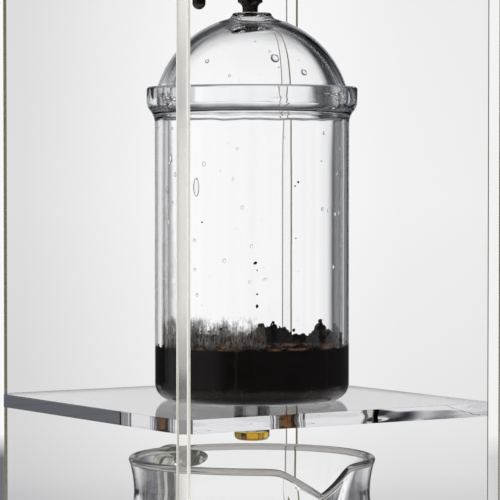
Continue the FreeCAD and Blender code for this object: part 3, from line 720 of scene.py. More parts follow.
@dataclass(frozen=True)
class WallFilm(Finish):
    """Film that wet grounds or running water left on the glass, dense below and ragged above."""

    dark: str
    pale: str
    foot: float                 # height where it is densest
    top: float                  # height where it has thinned out
    run_mm: float
    run_stretch: float          # how much longer the runs are than broad
    cover: float                # share of the light that it holds back at its foot
    cloud_share: float          # how much of that its clouds and runs take away
    start: float                # bearings between which it thins in and out, in degrees
    end: float
    blend: float                # degrees over which it does so
    soaked_to: float = 184.6    # up to this height it is as dark as the bed behind it
    cloud_mm: float = 8.0
    centre: Pair = (0.0, -8.0)

    def ends(self, tree: NodeTree, place: NodeSocket) -> Node:
        """Share that is left towards both ends.

        Args:
            tree: The material's tree.
            place: Object coordinates.

        Returns:
            The node of the share.
        """
        half = (self.end - self.start) / 2
        off = add(
            tree, "VectorMath", place, (self.centre[0] * MM, self.centre[1] * MM, 0), operation="SUBTRACT")
        back = math.radians(-(self.start + self.end) / 2)
        flat = add(tree, "SeparateXYZ", Vector=add(
            tree, "VectorRotate", rotation_type="Z_AXIS", Angle=back, Vector=off)).outputs
        angle = add(tree, "Math", flat["Y"], flat["X"], operation="ARCTAN2")
        return add(
            tree, "MapRange", interpolation_type="SMOOTHSTEP", From_Min=math.radians(half),
            From_Max=math.radians(half - self.blend),
            Value=add(tree, "Math", angle, operation="ABSOLUTE"))

    def veil(self, tree: NodeTree, place: NodeSocket, height: NodeSocket, runs: Node) -> Node:
        """How dense the film is.

        Args:
            tree: The material's tree.
            place: Object coordinates.
            height: Their height.
            runs: Noise drawn out to runs.

        Returns:
            The node of the density, thinned out to the top and to both ends.
        """
        dense = add(
            tree, "MapRange", clamp=False, From_Min=self.foot * MM, From_Max=self.top * MM,
            To_Min=self.cover, To_Max=0.0, Value=height)
        cloud = add(
            tree, "TexNoise", Scale=per_metre(self.cloud_mm), Detail=3.0, Roughness=0.6, Vector=place)
        torn = add(
            tree, "MapRange", clamp=False, From_Min=0.65, From_Max=1.35,
            To_Min=-self.cloud_share, To_Max=0.8 * self.cloud_share,
            Value=add(tree, "Math", cloud, runs, operation="ADD"))
        thinned = add(
            tree, "MapRange", interpolation_type="SMOOTHSTEP", From_Min=self.top * MM,
            From_Max=(0.5 * self.top + 0.5 * self.foot) * MM, Value=height)
        veil = add(
            tree, "Math", add(tree, "Math", dense, torn, operation="ADD", use_clamp=True), thinned,
            operation="MULTIPLY")
        return add(tree, "Math", veil, self.ends(tree, place), operation="MULTIPLY")

    def surface(self, tree: NodeTree, place: NodeSocket) -> Node:
        """Matt veil, dark where it is soaked and pale in its runs.

        Args:
            tree: The material's tree.
            place: Object coordinates.

        Returns:
            The shader.
        """
        height = add(tree, "SeparateXYZ", Vector=place).outputs["Z"]
        runs = add(
            tree, "TexNoise", Scale=per_metre(self.run_mm), Detail=6.0, Roughness=0.75,
            Vector=add(tree, "Mapping", Scale=(1.0, 1.0, 1 / self.run_stretch), Vector=place))
        pale = add(tree, "MapRange", From_Min=0.38, From_Max=0.72, Value=runs)
        soaked = add(
            tree, "MapRange", From_Min=self.soaked_to * MM, From_Max=(self.soaked_to + 2.5) * MM,
            Value=height)
        tone = add(tree, "Math", pale, soaked, operation="MULTIPLY")
        return add(
            tree, "BsdfPrincipled",
            Roughness=0.8, Specular_IOR_Level=0.1, Alpha=self.veil(tree, place, height, runs),
            Base_Color=add(
                tree, "MixRGB", Color1=colour(self.dark), Color2=colour(self.pale), Fac=tone))


@dataclass(frozen=True)
class StagePaint(Finish):
    """Pale matt studio paper that thins out at its far edge."""

    tint: str
    near_mm: float
    far_mm: float
    mottle_tint: str = "cbcacb"

    def surface(self, tree: NodeTree, place: NodeSocket) -> Node:
        """Faintly mottled paper that fades out with its distance.

        Args:
            tree: The material's tree.
            place: Object coordinates.

        Returns:
            The shader.
        """
        mottle = add(tree, "TexNoise", Scale=per_metre(140.0), Detail=3.0, Vector=place)
        paper = add(
            tree, "BsdfPrincipled", Roughness=0.8, Specular_IOR_Level=0.2,
            Base_Color=add(
                tree, "MixRGB", Color1=colour(self.tint), Color2=colour(self.mottle_tint), Fac=mottle))
        fade = add(
            tree, "MapRange", interpolation_type="SMOOTHSTEP", From_Min=self.near_mm * MM,
            From_Max=self.far_mm * MM,
            Value=add(tree, "VectorMath", place, operation="LENGTH").outputs["Value"])
        return add(tree, "MixShader", fade, paper, add(tree, "BsdfTransparent"))


# ---- frame of the tower --------------------------------------------------------------------------


@dataclass
class TowerFrame:
    """Plates, middle shelf, posts and their screws."""

    acrylic: Material
    flamed: Material
    bar: Material
    scuffed: Material
    frosted: Material
    # sawn: the sawn sides of the other bars, in an olive grey copy of the frost that is painted shade
    sawn: Material
    steel: Material
    silicone: Material
    edge: float = 0.04          # broken edges of the sheet
    bar_edge: float = 0.012
    sawn_bar_edge: float = 0.4
    sawn_post: str = POSTS[0]
    joint: float = 0.05         # glue line between shelf and post
    hole_clearance: float = 0.5
    spout_radius: float = 8.0
    post_side: float = 5.0
    screw_radius: float = 1.0
    screw_head: float = 2.0
    screw_head_height: float = 1.2
    screw_length: float = 16.0
    socket_flats: float = 1.5
    socket_depth: float = 0.7
    thread_pitch: float = 0.8
    thread_depth: float = 0.14

    def shelf_plan(self, shrink: float) -> list[Pair]:
        """Outline of the middle shelf in plan, drawn in by shrink.

        Args:
            shrink: How far inside the shelf's edge it runs.

        Returns:
            Points round the shelf, anticlockwise, dense enough to face a round hole.
        """
        low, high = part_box("middle_shelf")
        half = (high[0] - low[0]) / 2 / MM - shrink
        post_x, _ = middle("post_front_right")
        reach = math.sqrt(2) * post_x - self.post_side / 2 - self.joint - shrink
        cut = math.sqrt(2) * reach - half
        corners = [(half, -cut), (half, cut), (cut, half), (-cut, half),
                   (-half, cut), (-half, -cut), (-cut, -half), (cut, -half)]
        points = []
        for index, start in enumerate(corners):
            end = corners[(index + 1) % len(corners)]
            pieces = 40 if index % 2 == 0 else 4
            for step in range(pieces):
                part = step / pieces
                points.append((start[0] + (end[0] - start[0]) * part, start[1] + (end[1] - start[1]) * part))
        return points

    def middle_shelf(self) -> None:
        """Clear shelf with polished edges and the drilled hole for the spout."""
        foot, top = level("middle_shelf")
        centre = middle("brew_chamber")
        hole = self.spout_radius + self.hole_clearance
        wide = self.shelf_plan(0)
        narrow = self.shelf_plan(self.edge)

        def outside(plan: list[Pair], height: float) -> Loop:
            """Loop along the shelf's edge."""
            return [Vector((x, y, height)) for x, y in plan]

        def inside(radius: float, height: float) -> Loop:
            """Loop round the hole, facing the points of the edge.

            Args:
                radius: Of the hole.
                height: Of the loop.

            Returns:
                The loop.
            """
            loop = []
            for x, y in wide:
                away = Vector((x - centre[0], y - centre[1])).normalized() * radius
                loop.append(Vector((centre[0] + away.x, centre[1] + away.y, height)))
            return loop

        loops = [
            inside(hole, foot + self.edge), inside(hole, top - self.edge), inside(hole + self.edge, top),
            outside(narrow, top), outside(wide, top - self.edge), outside(wide, foot + self.edge),
            outside(narrow, foot), inside(hole + self.edge, foot),
        ]
        piece = shaped("clear_middle_shelf", loops, ring=True)
        set_on(piece, "frame", self.acrylic, "acrylic", "middle_shelf")
        finish_faces(piece, self.flamed, lambda face: face.normal.y < -0.9 and face.center.y < -4 * hole * MM)

    def post(self, name: str) -> None:
        """Square bar set cornerwise, with broken edges.

        Args:
            name: The CAD node that it stands for.
        """
        foot, top = level(name)
        centre = middle(name)
        half = self.post_side / 2
        sawn = name == self.sawn_post
        flat = half - (self.sawn_bar_edge if sawn else self.bar_edge)
        section = [(half, -flat), (half, flat), (flat, half), (-flat, half),
                   (-half, flat), (-half, -flat), (-flat, -half), (flat, -half)]
        turn = Matrix.Translation((centre[0], centre[1], 0)) @ Matrix.Rotation(math.pi / 4, 4, "Z")
        loops = []
        for height, scale in ((foot + self.joint, 0.9), (foot + self.edge, 1.0),
                              (top - self.edge, 1.0), (top - self.joint, 0.9)):
            loops.append([turn @ Vector((x * scale, y * scale, height)) for x, y in section])
        piece = shaped(("scuffed_" if sawn else "polished_") + name, loops)
        set_on(piece, "frame", self.scuffed if sawn else self.bar, "acrylic", name)
        broad = Vector((1, 1, 0)).normalized()
        # The other bars' sawn sides get the olive grey copy of the frost, which is painted shade.
        side_finish = self.frosted if sawn else self.sawn
        finish_faces(piece, side_finish, lambda face: abs(face.normal.dot(broad)) <= 0.99)

    def screw(self, form: BMesh, centre: Pair, head: float, down: bool) -> None:
        """Countersunk screw with a hexagon socket.

        Args:
            form: The form that gets it.
            centre: Its axis in plan.
            head: Height of the head's flat.
            down: Whether its point looks down.
        """
        place = upright(centre, head)
        if down:
            place = place @ Matrix.Rotation(math.pi, 4, "X")
        steps = SMALL_STEPS // 2
        pit = place @ Matrix.Translation((0, 0, self.socket_depth))
        loops = [regular_loop(6, 0.1, steps, pit), regular_loop(6, self.socket_flats, steps, pit),
                 regular_loop(6, self.socket_flats, steps, place)]
        outline = Outline(self.screw_head - 0.1, 0).to(self.screw_head, 0.1)
        outline.to(self.screw_radius, self.screw_head_height)
        height = self.screw_head_height + self.thread_pitch
        while height < self.screw_length - 1.5:
            outline.to(self.screw_radius, height)
            outline.to(self.screw_radius - self.thread_depth, height + self.thread_pitch / 2)
            height += self.thread_pitch
        outline.to(self.screw_radius * 0.8, self.screw_length - 1.0).to(0.1, self.screw_length)
        skin(form, loops + turned_loops(outline, steps, place))

    def screws(self) -> None:
        """Four screws up through the base plate and four down through the top shelf."""
        for end, down in (("base", False), ("top", True)):
            form = bmesh.new()
            foot, top = level(end + "_screws")
            for post in POSTS:
                self.screw(form, middle(post), top if down else foot, down)
            set_on(publish(form, "socket_screws_" + end), "frame", self.steel, "steel", end + "_screws")

    def build(self) -> None:
        """Make every piece of the frame."""
        self.middle_shelf()
        for post in POSTS:
            self.post(post)
        self.screws()
        for node in ("base_plate", "top_shelf"):
            dress_node(node, self.acrylic)
        for node in ("foot_pads", "vessel_seat_ring"):
            dress_node(node, self.silicone)


# ---- brew chamber --------------------------------------------------------------------------------


@dataclass
class BrewChamber:
    """Blown glass cylinder with its collar and spout, and the coffee in it."""

    glass: Material
    ground: Material
    grounds: Material
    film: Material
    wet: Material
    coffee: Material
    strong: Material
    water: Material
    ceramic: Material
    silicone: Material
    radius: float = 44.0
    wall: float = 3.0
    floor: float = 2.0
    height: float = 141.3
    heel: float = 7.5
    inner_heel: float = 5.2
    ground_rim: float = 0.7     # height of the rim's ground edge
    punt: float = 0.5           # the bottom is drawn up by this inside its foot ring
    collar_radius: float = 47.7
    collar_wall: float = 4.5
    collar_band: float = 6.0
    collar_flare: float = 10.3
    collar_round: float = 1.2
    collar_waves: float = 0.11
    wave_size: Pair = (16.0, 2.2)   # length and height of a wave
    wave_start: float = 6.0     # they grow to their full depth over this height
    socket_depth: float = 10.3
    spout_radius: float = 8.0
    spout_bore: float = 5.0
    spout_drop: float = 18.5
    spout_round: float = 2.4
    tip_bore: float = 4.0
    tip_length: float = 0.5
    bell_radius: float = 7.0    # the bore widens over its tip
    bell_foot: float = 1.7
    bell_top: float = 4.2
    bell_root: float = 6.4
    bell_round: float = 2.2
    bed_height: float = 25.0
    coffee_in_spout: float = 4.3
    slug_foot: float = 11.0     # over the spout's tip, coffee fills the bore again up to the filter
    contact: float = 0.03       # wet coffee lies this far into the glass's skin, so no air shows between
    bed_steps: int = 420
    bed_rings: int = 70
    bed_crumbs: int = 1500
    wall_crumbs: int = 420      # where the bed meets the glass
    wall_dust: int = 60         # higher up
    wall_drops: int = 70
    collar_drops: int = 90
    # Bearing, distance from the axis, height and width of the heaps of stirred-up grounds.
    heaps: tuple[tuple[float, float, float, float], ...] = (
        (28.0, 23.7, 7.2, 7.5), (46.0, 25.0, 6.8, 6.0), (-2.0, 36.5, 6.9, 4.8), (-20.0, 36.0, 6.0, 5.5),
        (14.0, 33.0, 3.0, 5.5), (-78.0, 34.0, 1.5, 6.0), (118.0, 27.0, 3.0, 9.0), (-165.0, 30.0, 3.5, 10.0))
    film_skin: float = 0.03
    film_bearings: Pair = (-224.0, -110.0)
    film_height: float = 21.0
    wet_bearings: Pair = (136.0, 192.0)

    def __post_init__(self) -> None:
        """Find the chamber's axis and foot."""
        self.centre = middle("brew_chamber")
        self.base = level("brew_chamber")[0] + self.spout_drop
        self.inside = self.radius - self.wall
        self.bed_level = self.base + self.bed_height

    def shell(self) -> None:
        """The glass itself."""
        band_foot = self.height - self.collar_band
        socket = self.collar_radius - self.collar_wall
        socket_floor = self.height - self.socket_depth
        tip = -self.spout_drop
        line = Outline(self.tip_bore + 0.3, tip).to(self.spout_radius - self.spout_round, tip)
        line.bend(self.spout_radius, tip + self.spout_round, self.spout_round, Side.RIGHT)
        line.to(self.spout_radius, self.punt - 0.4)
        line.bend(self.spout_radius + 0.4, self.punt, 0.4, Side.LEFT, 4)
        line.to(self.radius - self.heel - 4, self.punt, 4)
        line.bend(self.radius - self.heel, 0.02, 17.0, Side.LEFT, 3)
        line.bend(self.radius, self.heel, self.heel, Side.RIGHT, 14)
        line.to(self.radius, band_foot - self.collar_flare, 10).ogee(self.collar_radius, band_foot, 9)
        line.to(self.collar_radius, self.height - self.collar_round)
        line.bend(self.collar_radius - self.collar_round, self.height, self.collar_round, Side.RIGHT, 6)
        line.to(socket + self.collar_round, self.height)
        line.bend(socket, self.height - self.collar_round, self.collar_round, Side.RIGHT, 6)
        line.to(socket, socket_floor + 0.4).bend(socket - 0.4, socket_floor, 0.4, Side.LEFT, 4)
        line.to(self.inside + 1.2, socket_floor).bend(self.inside, socket_floor - 1.2, 1.2, Side.RIGHT, 5)
        line.to(self.inside, self.floor + self.inner_heel, 10)
        line.bend(self.inside - self.inner_heel, self.floor, self.inner_heel, Side.LEFT, 12)
        line.to(self.spout_bore + 1.2, self.floor, 4)
        line.bend(self.spout_bore, self.floor - 1.2, 1.2, Side.RIGHT, 5)
        line.to(self.spout_bore, tip + self.bell_root).ogee(self.bell_radius, tip + self.bell_top, 5)
        line.to(self.bell_radius, tip + self.bell_foot)
        line.bend(self.tip_bore, tip + self.tip_length, self.bell_round, Side.LEFT, 6)
        line.to(self.tip_bore, tip + 0.3)
        loops = turned_loops(line, ROUND_STEPS, upright(self.centre, self.base))
        for loop in loops:
            for point in loop:
                self.roll(point)
        piece = shaped("blown_brew_chamber", loops, ring=True)
        set_on(piece, "chamber", self.glass, "glass", "brew_chamber")
        rim = (self.base + self.height - self.ground_rim) * MM
        finish_faces(piece, self.ground, lambda face: face.center.z > rim)

    def roll(self, point: Vector) -> None:
        """Move a point of the collar the little that its rolling by hand left uneven.

        Args:
            point: A point of the glass, moved in place.
        """
        over = point.z - self.base - (self.height - self.collar_band - self.collar_flare)
        share = min(max(over / self.wave_start, 0.0), 1.0)
        if share > 0:
            off = point.xy - Vector(self.centre)
            long, high = self.wave_size
            wave = noise.fractal(Vector((point.x / long, point.y / long, point.z / high)), 0.9, 2.0, 3)
            point.xy += off.normalized() * (self.collar_waves * share * wave)

    def heap_rise(self, x: float, y: float) -> float:
        """Rise of the stirred-up grounds over the level bed.

        Args:
            x: From the chamber's axis.
            y: From the chamber's axis.

        Returns:
            The rise, with the grain of the clumps in it.
        """
        rise = 0.0
        for bearing, reach, height, width in self.heaps:
            angle = math.radians(bearing)
            off = math.hypot(x - reach * math.cos(angle), y - reach * math.sin(angle))
            rise = max(rise, height * math.exp(-((off / width) ** 2.4)))
        lumps = noise.fractal(Vector((x, y, 0)) / 4.0, 0.8, 2.2, 6)
        grains = noise.cell(Vector((x, y, 3.0)) / 1.3) + noise.noise(Vector((x, y, 9.0)) / 0.9)
        return rise * (0.9 + 0.3 * lumps + 0.1 * grains) + 0.6 * lumps + 0.35 * grains

    def bed(self) -> None:
        """Wet grounds with their heaps."""
        radius = self.inside + self.contact
        low = self.base + self.floor - self.contact
        heel = self.inner_heel
        line = Outline(0.05, low).to(radius - heel, low, 6).bend(radius, low + heel, heel, Side.RIGHT, 10)
        line.to(radius, self.bed_level - 2.4, 12)
        loops = turned_loops(line, self.bed_steps, upright(self.centre, 0))
        ridge = []
        for point in loops[-1]:
            wave = noise.fractal(point / 3.2, 0.8, 2.1, 5)
            rise = max(self.heap_rise(point.x - self.centre[0], point.y - self.centre[1]), -0.5)
            ridge.append(Vector((point.x, point.y, self.bed_level - 0.2 + 1.2 * wave + rise)))
        loops.append(ridge)
        for ring in range(1, self.bed_rings):
            reach = radius * (1 - ring / self.bed_rings)
            loop = []
            for angle in angles(self.bed_steps):
                x = reach * math.cos(angle)
                y = reach * math.sin(angle)
                height = self.bed_level + self.heap_rise(x, y)
                loop.append(Vector((x + self.centre[0], y + self.centre[1], height)))
            loops.append(loop)
        set_on(shaped("wet_coffee_bed", loops), "chamber", self.grounds, "coffee_grounds", "coffee_bed")

    def crumb(self, form: BMesh, place: Vector, size: float, dice: random.Random) -> None:
        """One loose, uneven crumb of coffee.

        Args:
            form: The form that gets it.
            place: Its middle.
            size: Its breadth.
            dice: Where its unevenness comes from.
        """
        made = bmesh.ops.create_icosphere(form, subdivisions=1, radius=size / 2 * MM)
        squeeze = Vector((dice.uniform(0.6, 1.1), dice.uniform(0.6, 1.1), dice.uniform(0.5, 1.0)))
        spin = Matrix.Rotation(dice.uniform(0, FULL_TURN), 3, "Z")
        spin = spin @ Matrix.Rotation(dice.uniform(0, 1.5), 3, "X")
        for vert in made["verts"]:
            vert.co = spin @ (vert.co * squeeze * dice.uniform(0.8, 1.2)) + place * MM

    def crumbs(self) -> None:
        """Loose crumbs on the bed and up its heaps."""
        dice = random.Random(7)
        form = bmesh.new()
        placed = 0
        while placed < self.bed_crumbs:
            angle = dice.uniform(0, FULL_TURN)
            reach = (self.inside - 1.2) * math.sqrt(dice.random())
            x = reach * math.cos(angle)
            y = reach * math.sin(angle)
            rise = self.heap_rise(x, y)
            if dice.random() > 0.3 + rise / 6:
                continue
            placed += 1
            size = dice.choice((0.5, 0.7, 0.9, 1.3, 1.9)) * dice.uniform(0.7, 1.2)
            height = self.bed_level + rise + size * 0.1
            self.crumb(form, Vector((x + self.centre[0], y + self.centre[1], height)), size, dice)
        set_on(publish(form, "loose_grounds"), "chamber", self.grounds, "coffee_grounds")

    def on_wall(self, bearing: float, height: float, inset: float = 0.1) -> Vector:
        """Point on the chamber's inner wall.

        Args:
            bearing: Degrees from +X.
            height: Over the feet's surface.
            inset: How far inside the glass.

        Returns:
            The point.
        """
        angle = math.radians(bearing)
        reach = self.inside - inset
        x, y = self.centre
        return Vector((x + reach * math.cos(angle), y + reach * math.sin(angle), height))

    def specks(self) -> None:
        """Grounds that stick to the wall, singly and in clots."""
        places = ((-93.8, 258.5, 0.9), (-95.9, 256.8, 0.7), (-121.0, 223.1, 1.5), (-119.8, 220.0, 0.7),
                  (-119.8, 209.5, 0.8), (-119.8, 204.2, 1.3), (-154.7, 240.9, 0.7), (26.2, 232.0, 0.7),
                  (-76.2, 267.8, 0.6), (-109.8, 197.2, 1.2), (-96.6, 193.5, 1.3), (-76.5, 197.0, 1.7),
                  (-75.6, 195.6, 2.4), (-73.0, 194.2, 2.6), (-78.4, 194.0, 2.6), (-76.0, 192.2, 3.0),
                  (-73.5, 190.4, 3.2), (-70.5, 191.2, 2.6), (-78.0, 190.0, 3.2), (-68.0, 189.4, 2.6))
        dice = random.Random(11)
        form = bmesh.new()
        for bearing, height, size in places:
            self.crumb(form, self.on_wall(bearing, height, 0.4 * size), 1.4 * size, dice)
        for _ in range(self.wall_crumbs):
            bearing = dice.choice((-154.0, -145.0, -128.0, -60.0, -50.0)) + dice.gauss(0, 8)
            rise = abs(dice.gauss(0, 3.6 if bearing < -135 else 2.4))
            self.crumb(form, self.on_wall(bearing, self.bed_level + rise, 0.25), dice.uniform(0.4, 1.3), dice)
        for _ in range(self.wall_dust):
            bearing = dice.uniform(-180, 180)
            height = min(self.bed_level + dice.expovariate(1 / 22.0), self.base + 120)
            self.crumb(form, self.on_wall(bearing, height, 0.2), dice.uniform(0.2, 0.5), dice)
        set_on(publish(form, "grounds_on_the_wall"), "chamber", self.grounds, "coffee_grounds")

    def wall_patch(self, name: str, bearings: Pair, heights: Pair, inset: float) -> Object:
        """Thin curved patch on the inner wall.

        Args:
            name: Name of the object.
            bearings: First and last bearing, in degrees.
            heights: Lower and upper edge.
            inset: How far inside the glass.

        Returns:
            The object.
        """
        columns = 96
        loops = []
        for column in range(columns + 1):
            bearing = bearings[0] + (bearings[1] - bearings[0]) * column / columns
            loops.append([self.on_wall(bearing, heights[upper], inset + self.film_skin * inner)
                          for upper, inner in ((0, 0), (1, 0), (1, 1), (0, 1))])
        return shaped(name, loops)

    def films(self) -> None:
        """Patches where the grounds were stirred against the glass, and where condensed water ran down."""
        low = self.bed_level - 2.2
        stirred = self.wall_patch("coffee_film_left", self.film_bearings, (low, low + self.film_height), 0.02)
        set_on(stirred, "chamber", self.film, "coffee_grounds")
        run = self.wall_patch("water_film_left", self.wet_bearings, (low, self.base + 112.0), 0.08)
        set_on(run, "chamber", self.wet, "glass")

    def drops(self) -> None:
        """Drops of water on the inner wall."""
        dice = random.Random(23)
        places = [(-158.5, 256.3, 1.6, 2.6), (178.9, 269.1, 1.2, 1.5), (175.0, 254.9, 1.1, 1.5),
                  (176.4, 240.6, 1.2, 1.3), (-172.0, 250.0, 0.9, 1.2), (-20.0, 262.0, 1.0, 1.3)]
        for _ in range(self.wall_drops):
            bearing = dice.choice((178.0, -172.0, -60.0, -45.0, 60.0)) + dice.gauss(0, 10)
            height = dice.uniform(self.bed_level + 12, self.base + 124)
            places.append((bearing, height, dice.uniform(0.3, 0.9), 1.2))
        form = bmesh.new()
        for bearing, height, size, tall in places:
            self.drop(form, bearing, height, size, tall, self.inside)
        caught = self.collar_radius - self.collar_wall - self.collar_waves
        for _ in range(self.collar_drops):
            bearing = dice.choice((-60.0, -40.0, -45.0, 150.0, 172.0, 162.0)) + dice.gauss(0, 12)
            height = self.base + self.height - self.socket_depth + dice.uniform(0.8, 6.5)
            self.drop(form, bearing, height, dice.uniform(0.7, 2.6), dice.uniform(0.22, 0.5), caught)
        set_on(publish(form, "water_drops_chamber"), "chamber", self.water, "glass")

    def drop(
        self, form: BMesh, bearing: float, height: float, size: float, tall: float, wall: float
    ) -> None:
        """One drop that hangs on a round wall.

        Args:
            form: The form that gets it.
            bearing: Degrees from +X.
            height: Over the feet's surface.
            size: Half its breadth.
            tall: Its height in breadths.
            wall: Radius of the wall that it hangs on.
        """
        outward = Matrix.Rotation(math.radians(bearing), 4, "Z")
        shape = Matrix.Diagonal((0.35, 1.0, tall, 1.0))
        place = Matrix.Translation(self.on_wall(bearing, height, self.inside - wall + 0.02) * MM)
        made = bmesh.ops.create_icosphere(form, subdivisions=3, radius=size * MM)
        bmesh.ops.transform(form, matrix=place @ outward @ shape, verts=made["verts"])
        for vert in made["verts"]:
            self.keep_inside(vert, wall)

    def keep_inside(self, vert: BMVert, wall: float) -> None:
        """Press a drop's point back to its wall where it would stand in the glass.

        Args:
            vert: The point, moved in place.
            wall: Radius of the wall.
        """
        off = Vector((vert.co.x - self.centre[0] * MM, vert.co.y - self.centre[1] * MM))
        limit = (wall - 0.01) * MM
        if off.length > limit:
            off *= limit / off.length
            vert.co.x = self.centre[0] * MM + off.x
            vert.co.y = self.centre[1] * MM + off.y

    def spout_coffee(self) -> None:
        """Brewed coffee in the spout: what waits at its tip, and what the filter lets through above it."""
        foot = self.base - self.spout_drop
        bore = self.spout_bore + self.contact
        bell = self.bell_radius + self.contact
        top = foot + self.coffee_in_spout
        line = Outline(0.01, foot + 0.1).bend(self.tip_bore + self.contact, foot + 0.35, 8.0, Side.RIGHT, 4)
        line.to(self.tip_bore + self.contact, foot + self.tip_length)
        line.bend(bell, foot + self.bell_foot, self.bell_round, Side.RIGHT, 6).to(bell, top)
        line.bend(bell - 1.4, top - 0.8, 1.6, Side.LEFT, 5).to(0.01, top - 0.9, 3)
        place = upright(self.centre, 0)
        steps = SMALL_STEPS * 2
        waiting = turned("coffee_in_spout", line, place, steps, ring=False)
        set_on(waiting, "chamber", self.coffee, "coffee", "brewed_coffee")
        slug = Outline(0.01, foot + self.slug_foot + 1.2)
        slug.bend(bore, foot + self.slug_foot, 12.0, Side.LEFT, 6).to(bore, self.base + self.floor - 1.3, 3)
        slug.to(0.01, self.base + self.floor - 1.3)
        below = turned("coffee_under_the_filter", slug, place, steps, ring=False)
        set_on(below, "chamber", self.strong, "coffee")

    def build(self) -> None:
        """Make the chamber and all that is in it."""
        self.shell()
        self.bed()
        self.crumbs()
        self.specks()
        self.films()
        self.drops()
        self.spout_coffee()
        dress_node("filter_disc", self.ceramic)
        dress_node("filter_gasket", self.silicone)


@dataclass
class DomeLid:
    """Blown glass dome with a beaded hole in its crown, and the drops inside it."""

    glass: Material
    water: Material
    radius: float = 44.5
    wall: float = 3.2
    skirt_radius: float = 42.7
    chamber_rim: float = 10.3   # the chamber's rim over the skirt's foot
    skirt_round: float = 1.2
    crown_lip: float = 1.7
    crown_bore: float = 7.0
    crown_root: float = 12.0
    crown_height: float = 1.4
    bead_depth: float = 5.2
    bead_width: float = 3.0
    bead_root: float = 13.5
    bead_sag: float = 3.2       # the bead hung down to one side while the glass was soft
    sag_bearing: float = 197.0
    sag_top: float = 331.5
    sag_fade: float = 3.5       # over this distance it goes down to nothing
    small_drops: int = 26

    def __post_init__(self) -> None:
        """Find the dome's axis and the middle of its ball."""
        self.centre = middle("dome_lid")
        self.foot = level("dome_lid")[0]
        self.rim = self.foot + self.chamber_rim
        self.ball = self.rim - math.sqrt(self.radius ** 2 - self.skirt_radius ** 2)

    def shell(self) -> None:
        """The glass itself."""
        inner = self.radius - self.wall
        skirt_inside = self.skirt_radius - self.wall
        top = self.ball + self.radius + self.crown_height
        root = self.ball + math.sqrt(self.radius ** 2 - self.crown_root ** 2)
        bead_low = self.ball + inner - self.bead_depth
        bead_root = self.ball + math.sqrt(inner ** 2 - self.bead_root ** 2)
        half_bead = self.bead_width / 2
        edge = self.skirt_round
        line = Outline(skirt_inside + edge, self.foot).to(self.skirt_radius - edge, self.foot)
        line.bend(self.skirt_radius, self.foot + edge, edge, Side.RIGHT, 5).to(self.skirt_radius, self.rim, 4)
        line.bend(self.crown_root, root, self.radius, Side.RIGHT, 44)
        crown = self.crown_bore + self.crown_lip
        line.bend(crown + 0.2, top - 0.9, 4.2, Side.LEFT, 6)
        line.bend(crown - 0.85, top, 1.0, Side.RIGHT, 5).bend(self.crown_bore, top - 0.9, 0.95, Side.RIGHT, 5)
        line.to(self.crown_bore, bead_low + half_bead)
        line.bend(self.crown_bore + half_bead, bead_low, half_bead, Side.RIGHT, 6)
        line.bend(self.crown_bore + self.bead_width, bead_low + half_bead, half_bead, Side.RIGHT, 6)
        line.bend(self.bead_root, bead_root, 5.0, Side.LEFT, 6)
        straight = self.ball + math.sqrt(inner ** 2 - skirt_inside ** 2)
        line.bend(skirt_inside, straight, inner, Side.LEFT, 40).to(skirt_inside, self.foot + edge, 4)
        line.bend(skirt_inside + edge, self.foot, edge, Side.RIGHT, 5)
        loops = turned_loops(line, ROUND_STEPS, upright(self.centre, 0))
        for loop in loops:
            for point in loop:
                self.sag(point, bead_low)
        set_on(shaped("blown_dome_lid", loops, ring=True), "dome", self.glass, "glass", "dome_lid")

    def sag(self, point: Vector, bead_low: float) -> None:
        """Draw the bead up, away from the side that it hangs down to.

        Args:
            point: A point of the glass, moved in place.
            bead_low: Lowest height of the bead.
        """
        off = point.xy - Vector(self.centre)
        near = min(max((self.bead_root - off.length) / self.sag_fade, 0.0), 1.0)
        deep = min(max((self.sag_top - point.z) / (self.sag_top - bead_low), 0.0), 1.0)
        away = math.atan2(off.y, off.x) - math.radians(self.sag_bearing)
        point.z += self.bead_sag * near * deep * (0.5 - 0.5 * math.cos(away))

    def drops(self) -> None:
        """Condensed drops that hang on the inside."""
        dice = random.Random(31)
        inner = self.radius - self.wall
        places = [(-106.1, 34.8, 1.9, 1.15), (-86.4, 25.2, 1.5, 1.0), (-177.9, 56.0, 0.9, 1.2),
                  (-156.3, 32.7, 1.0, 1.0)]
        for _ in range(self.small_drops):
            places.append((dice.uniform(-180, 180), dice.uniform(18, 66), dice.uniform(0.25, 0.6), 1.0))
        form = bmesh.new()
        for bearing, climb, size, tall in places:
            turn = Matrix.Rotation(math.radians(bearing), 4, "Z")
            turn = turn @ Matrix.Rotation(-math.radians(climb), 4, "Y")
            ball = Vector((*self.centre, self.ball))
            place = Matrix.Translation((ball + turn @ Vector((inner - 0.02, 0, 0))) * MM)
            made = bmesh.ops.create_icosphere(form, subdivisions=3, radius=size * MM)
            shape = Matrix.Diagonal((0.45, 1.0, tall, 1.0))
            bmesh.ops.transform(form, matrix=place @ turn @ shape, verts=made["verts"])
            for vert in made["verts"]:
                off = vert.co / MM - ball
                if off.length > inner - 0.01:
                    vert.co = (ball + off.normalized() * (inner - 0.01)) * MM
        set_on(publish(form, "water_drops_dome"), "dome", self.water, "glass")

    def build(self) -> None:
        """Make the dome and its drops."""
        self.shell()
        self.drops()


# ---- carafe --------------------------------------------------------------------------------------


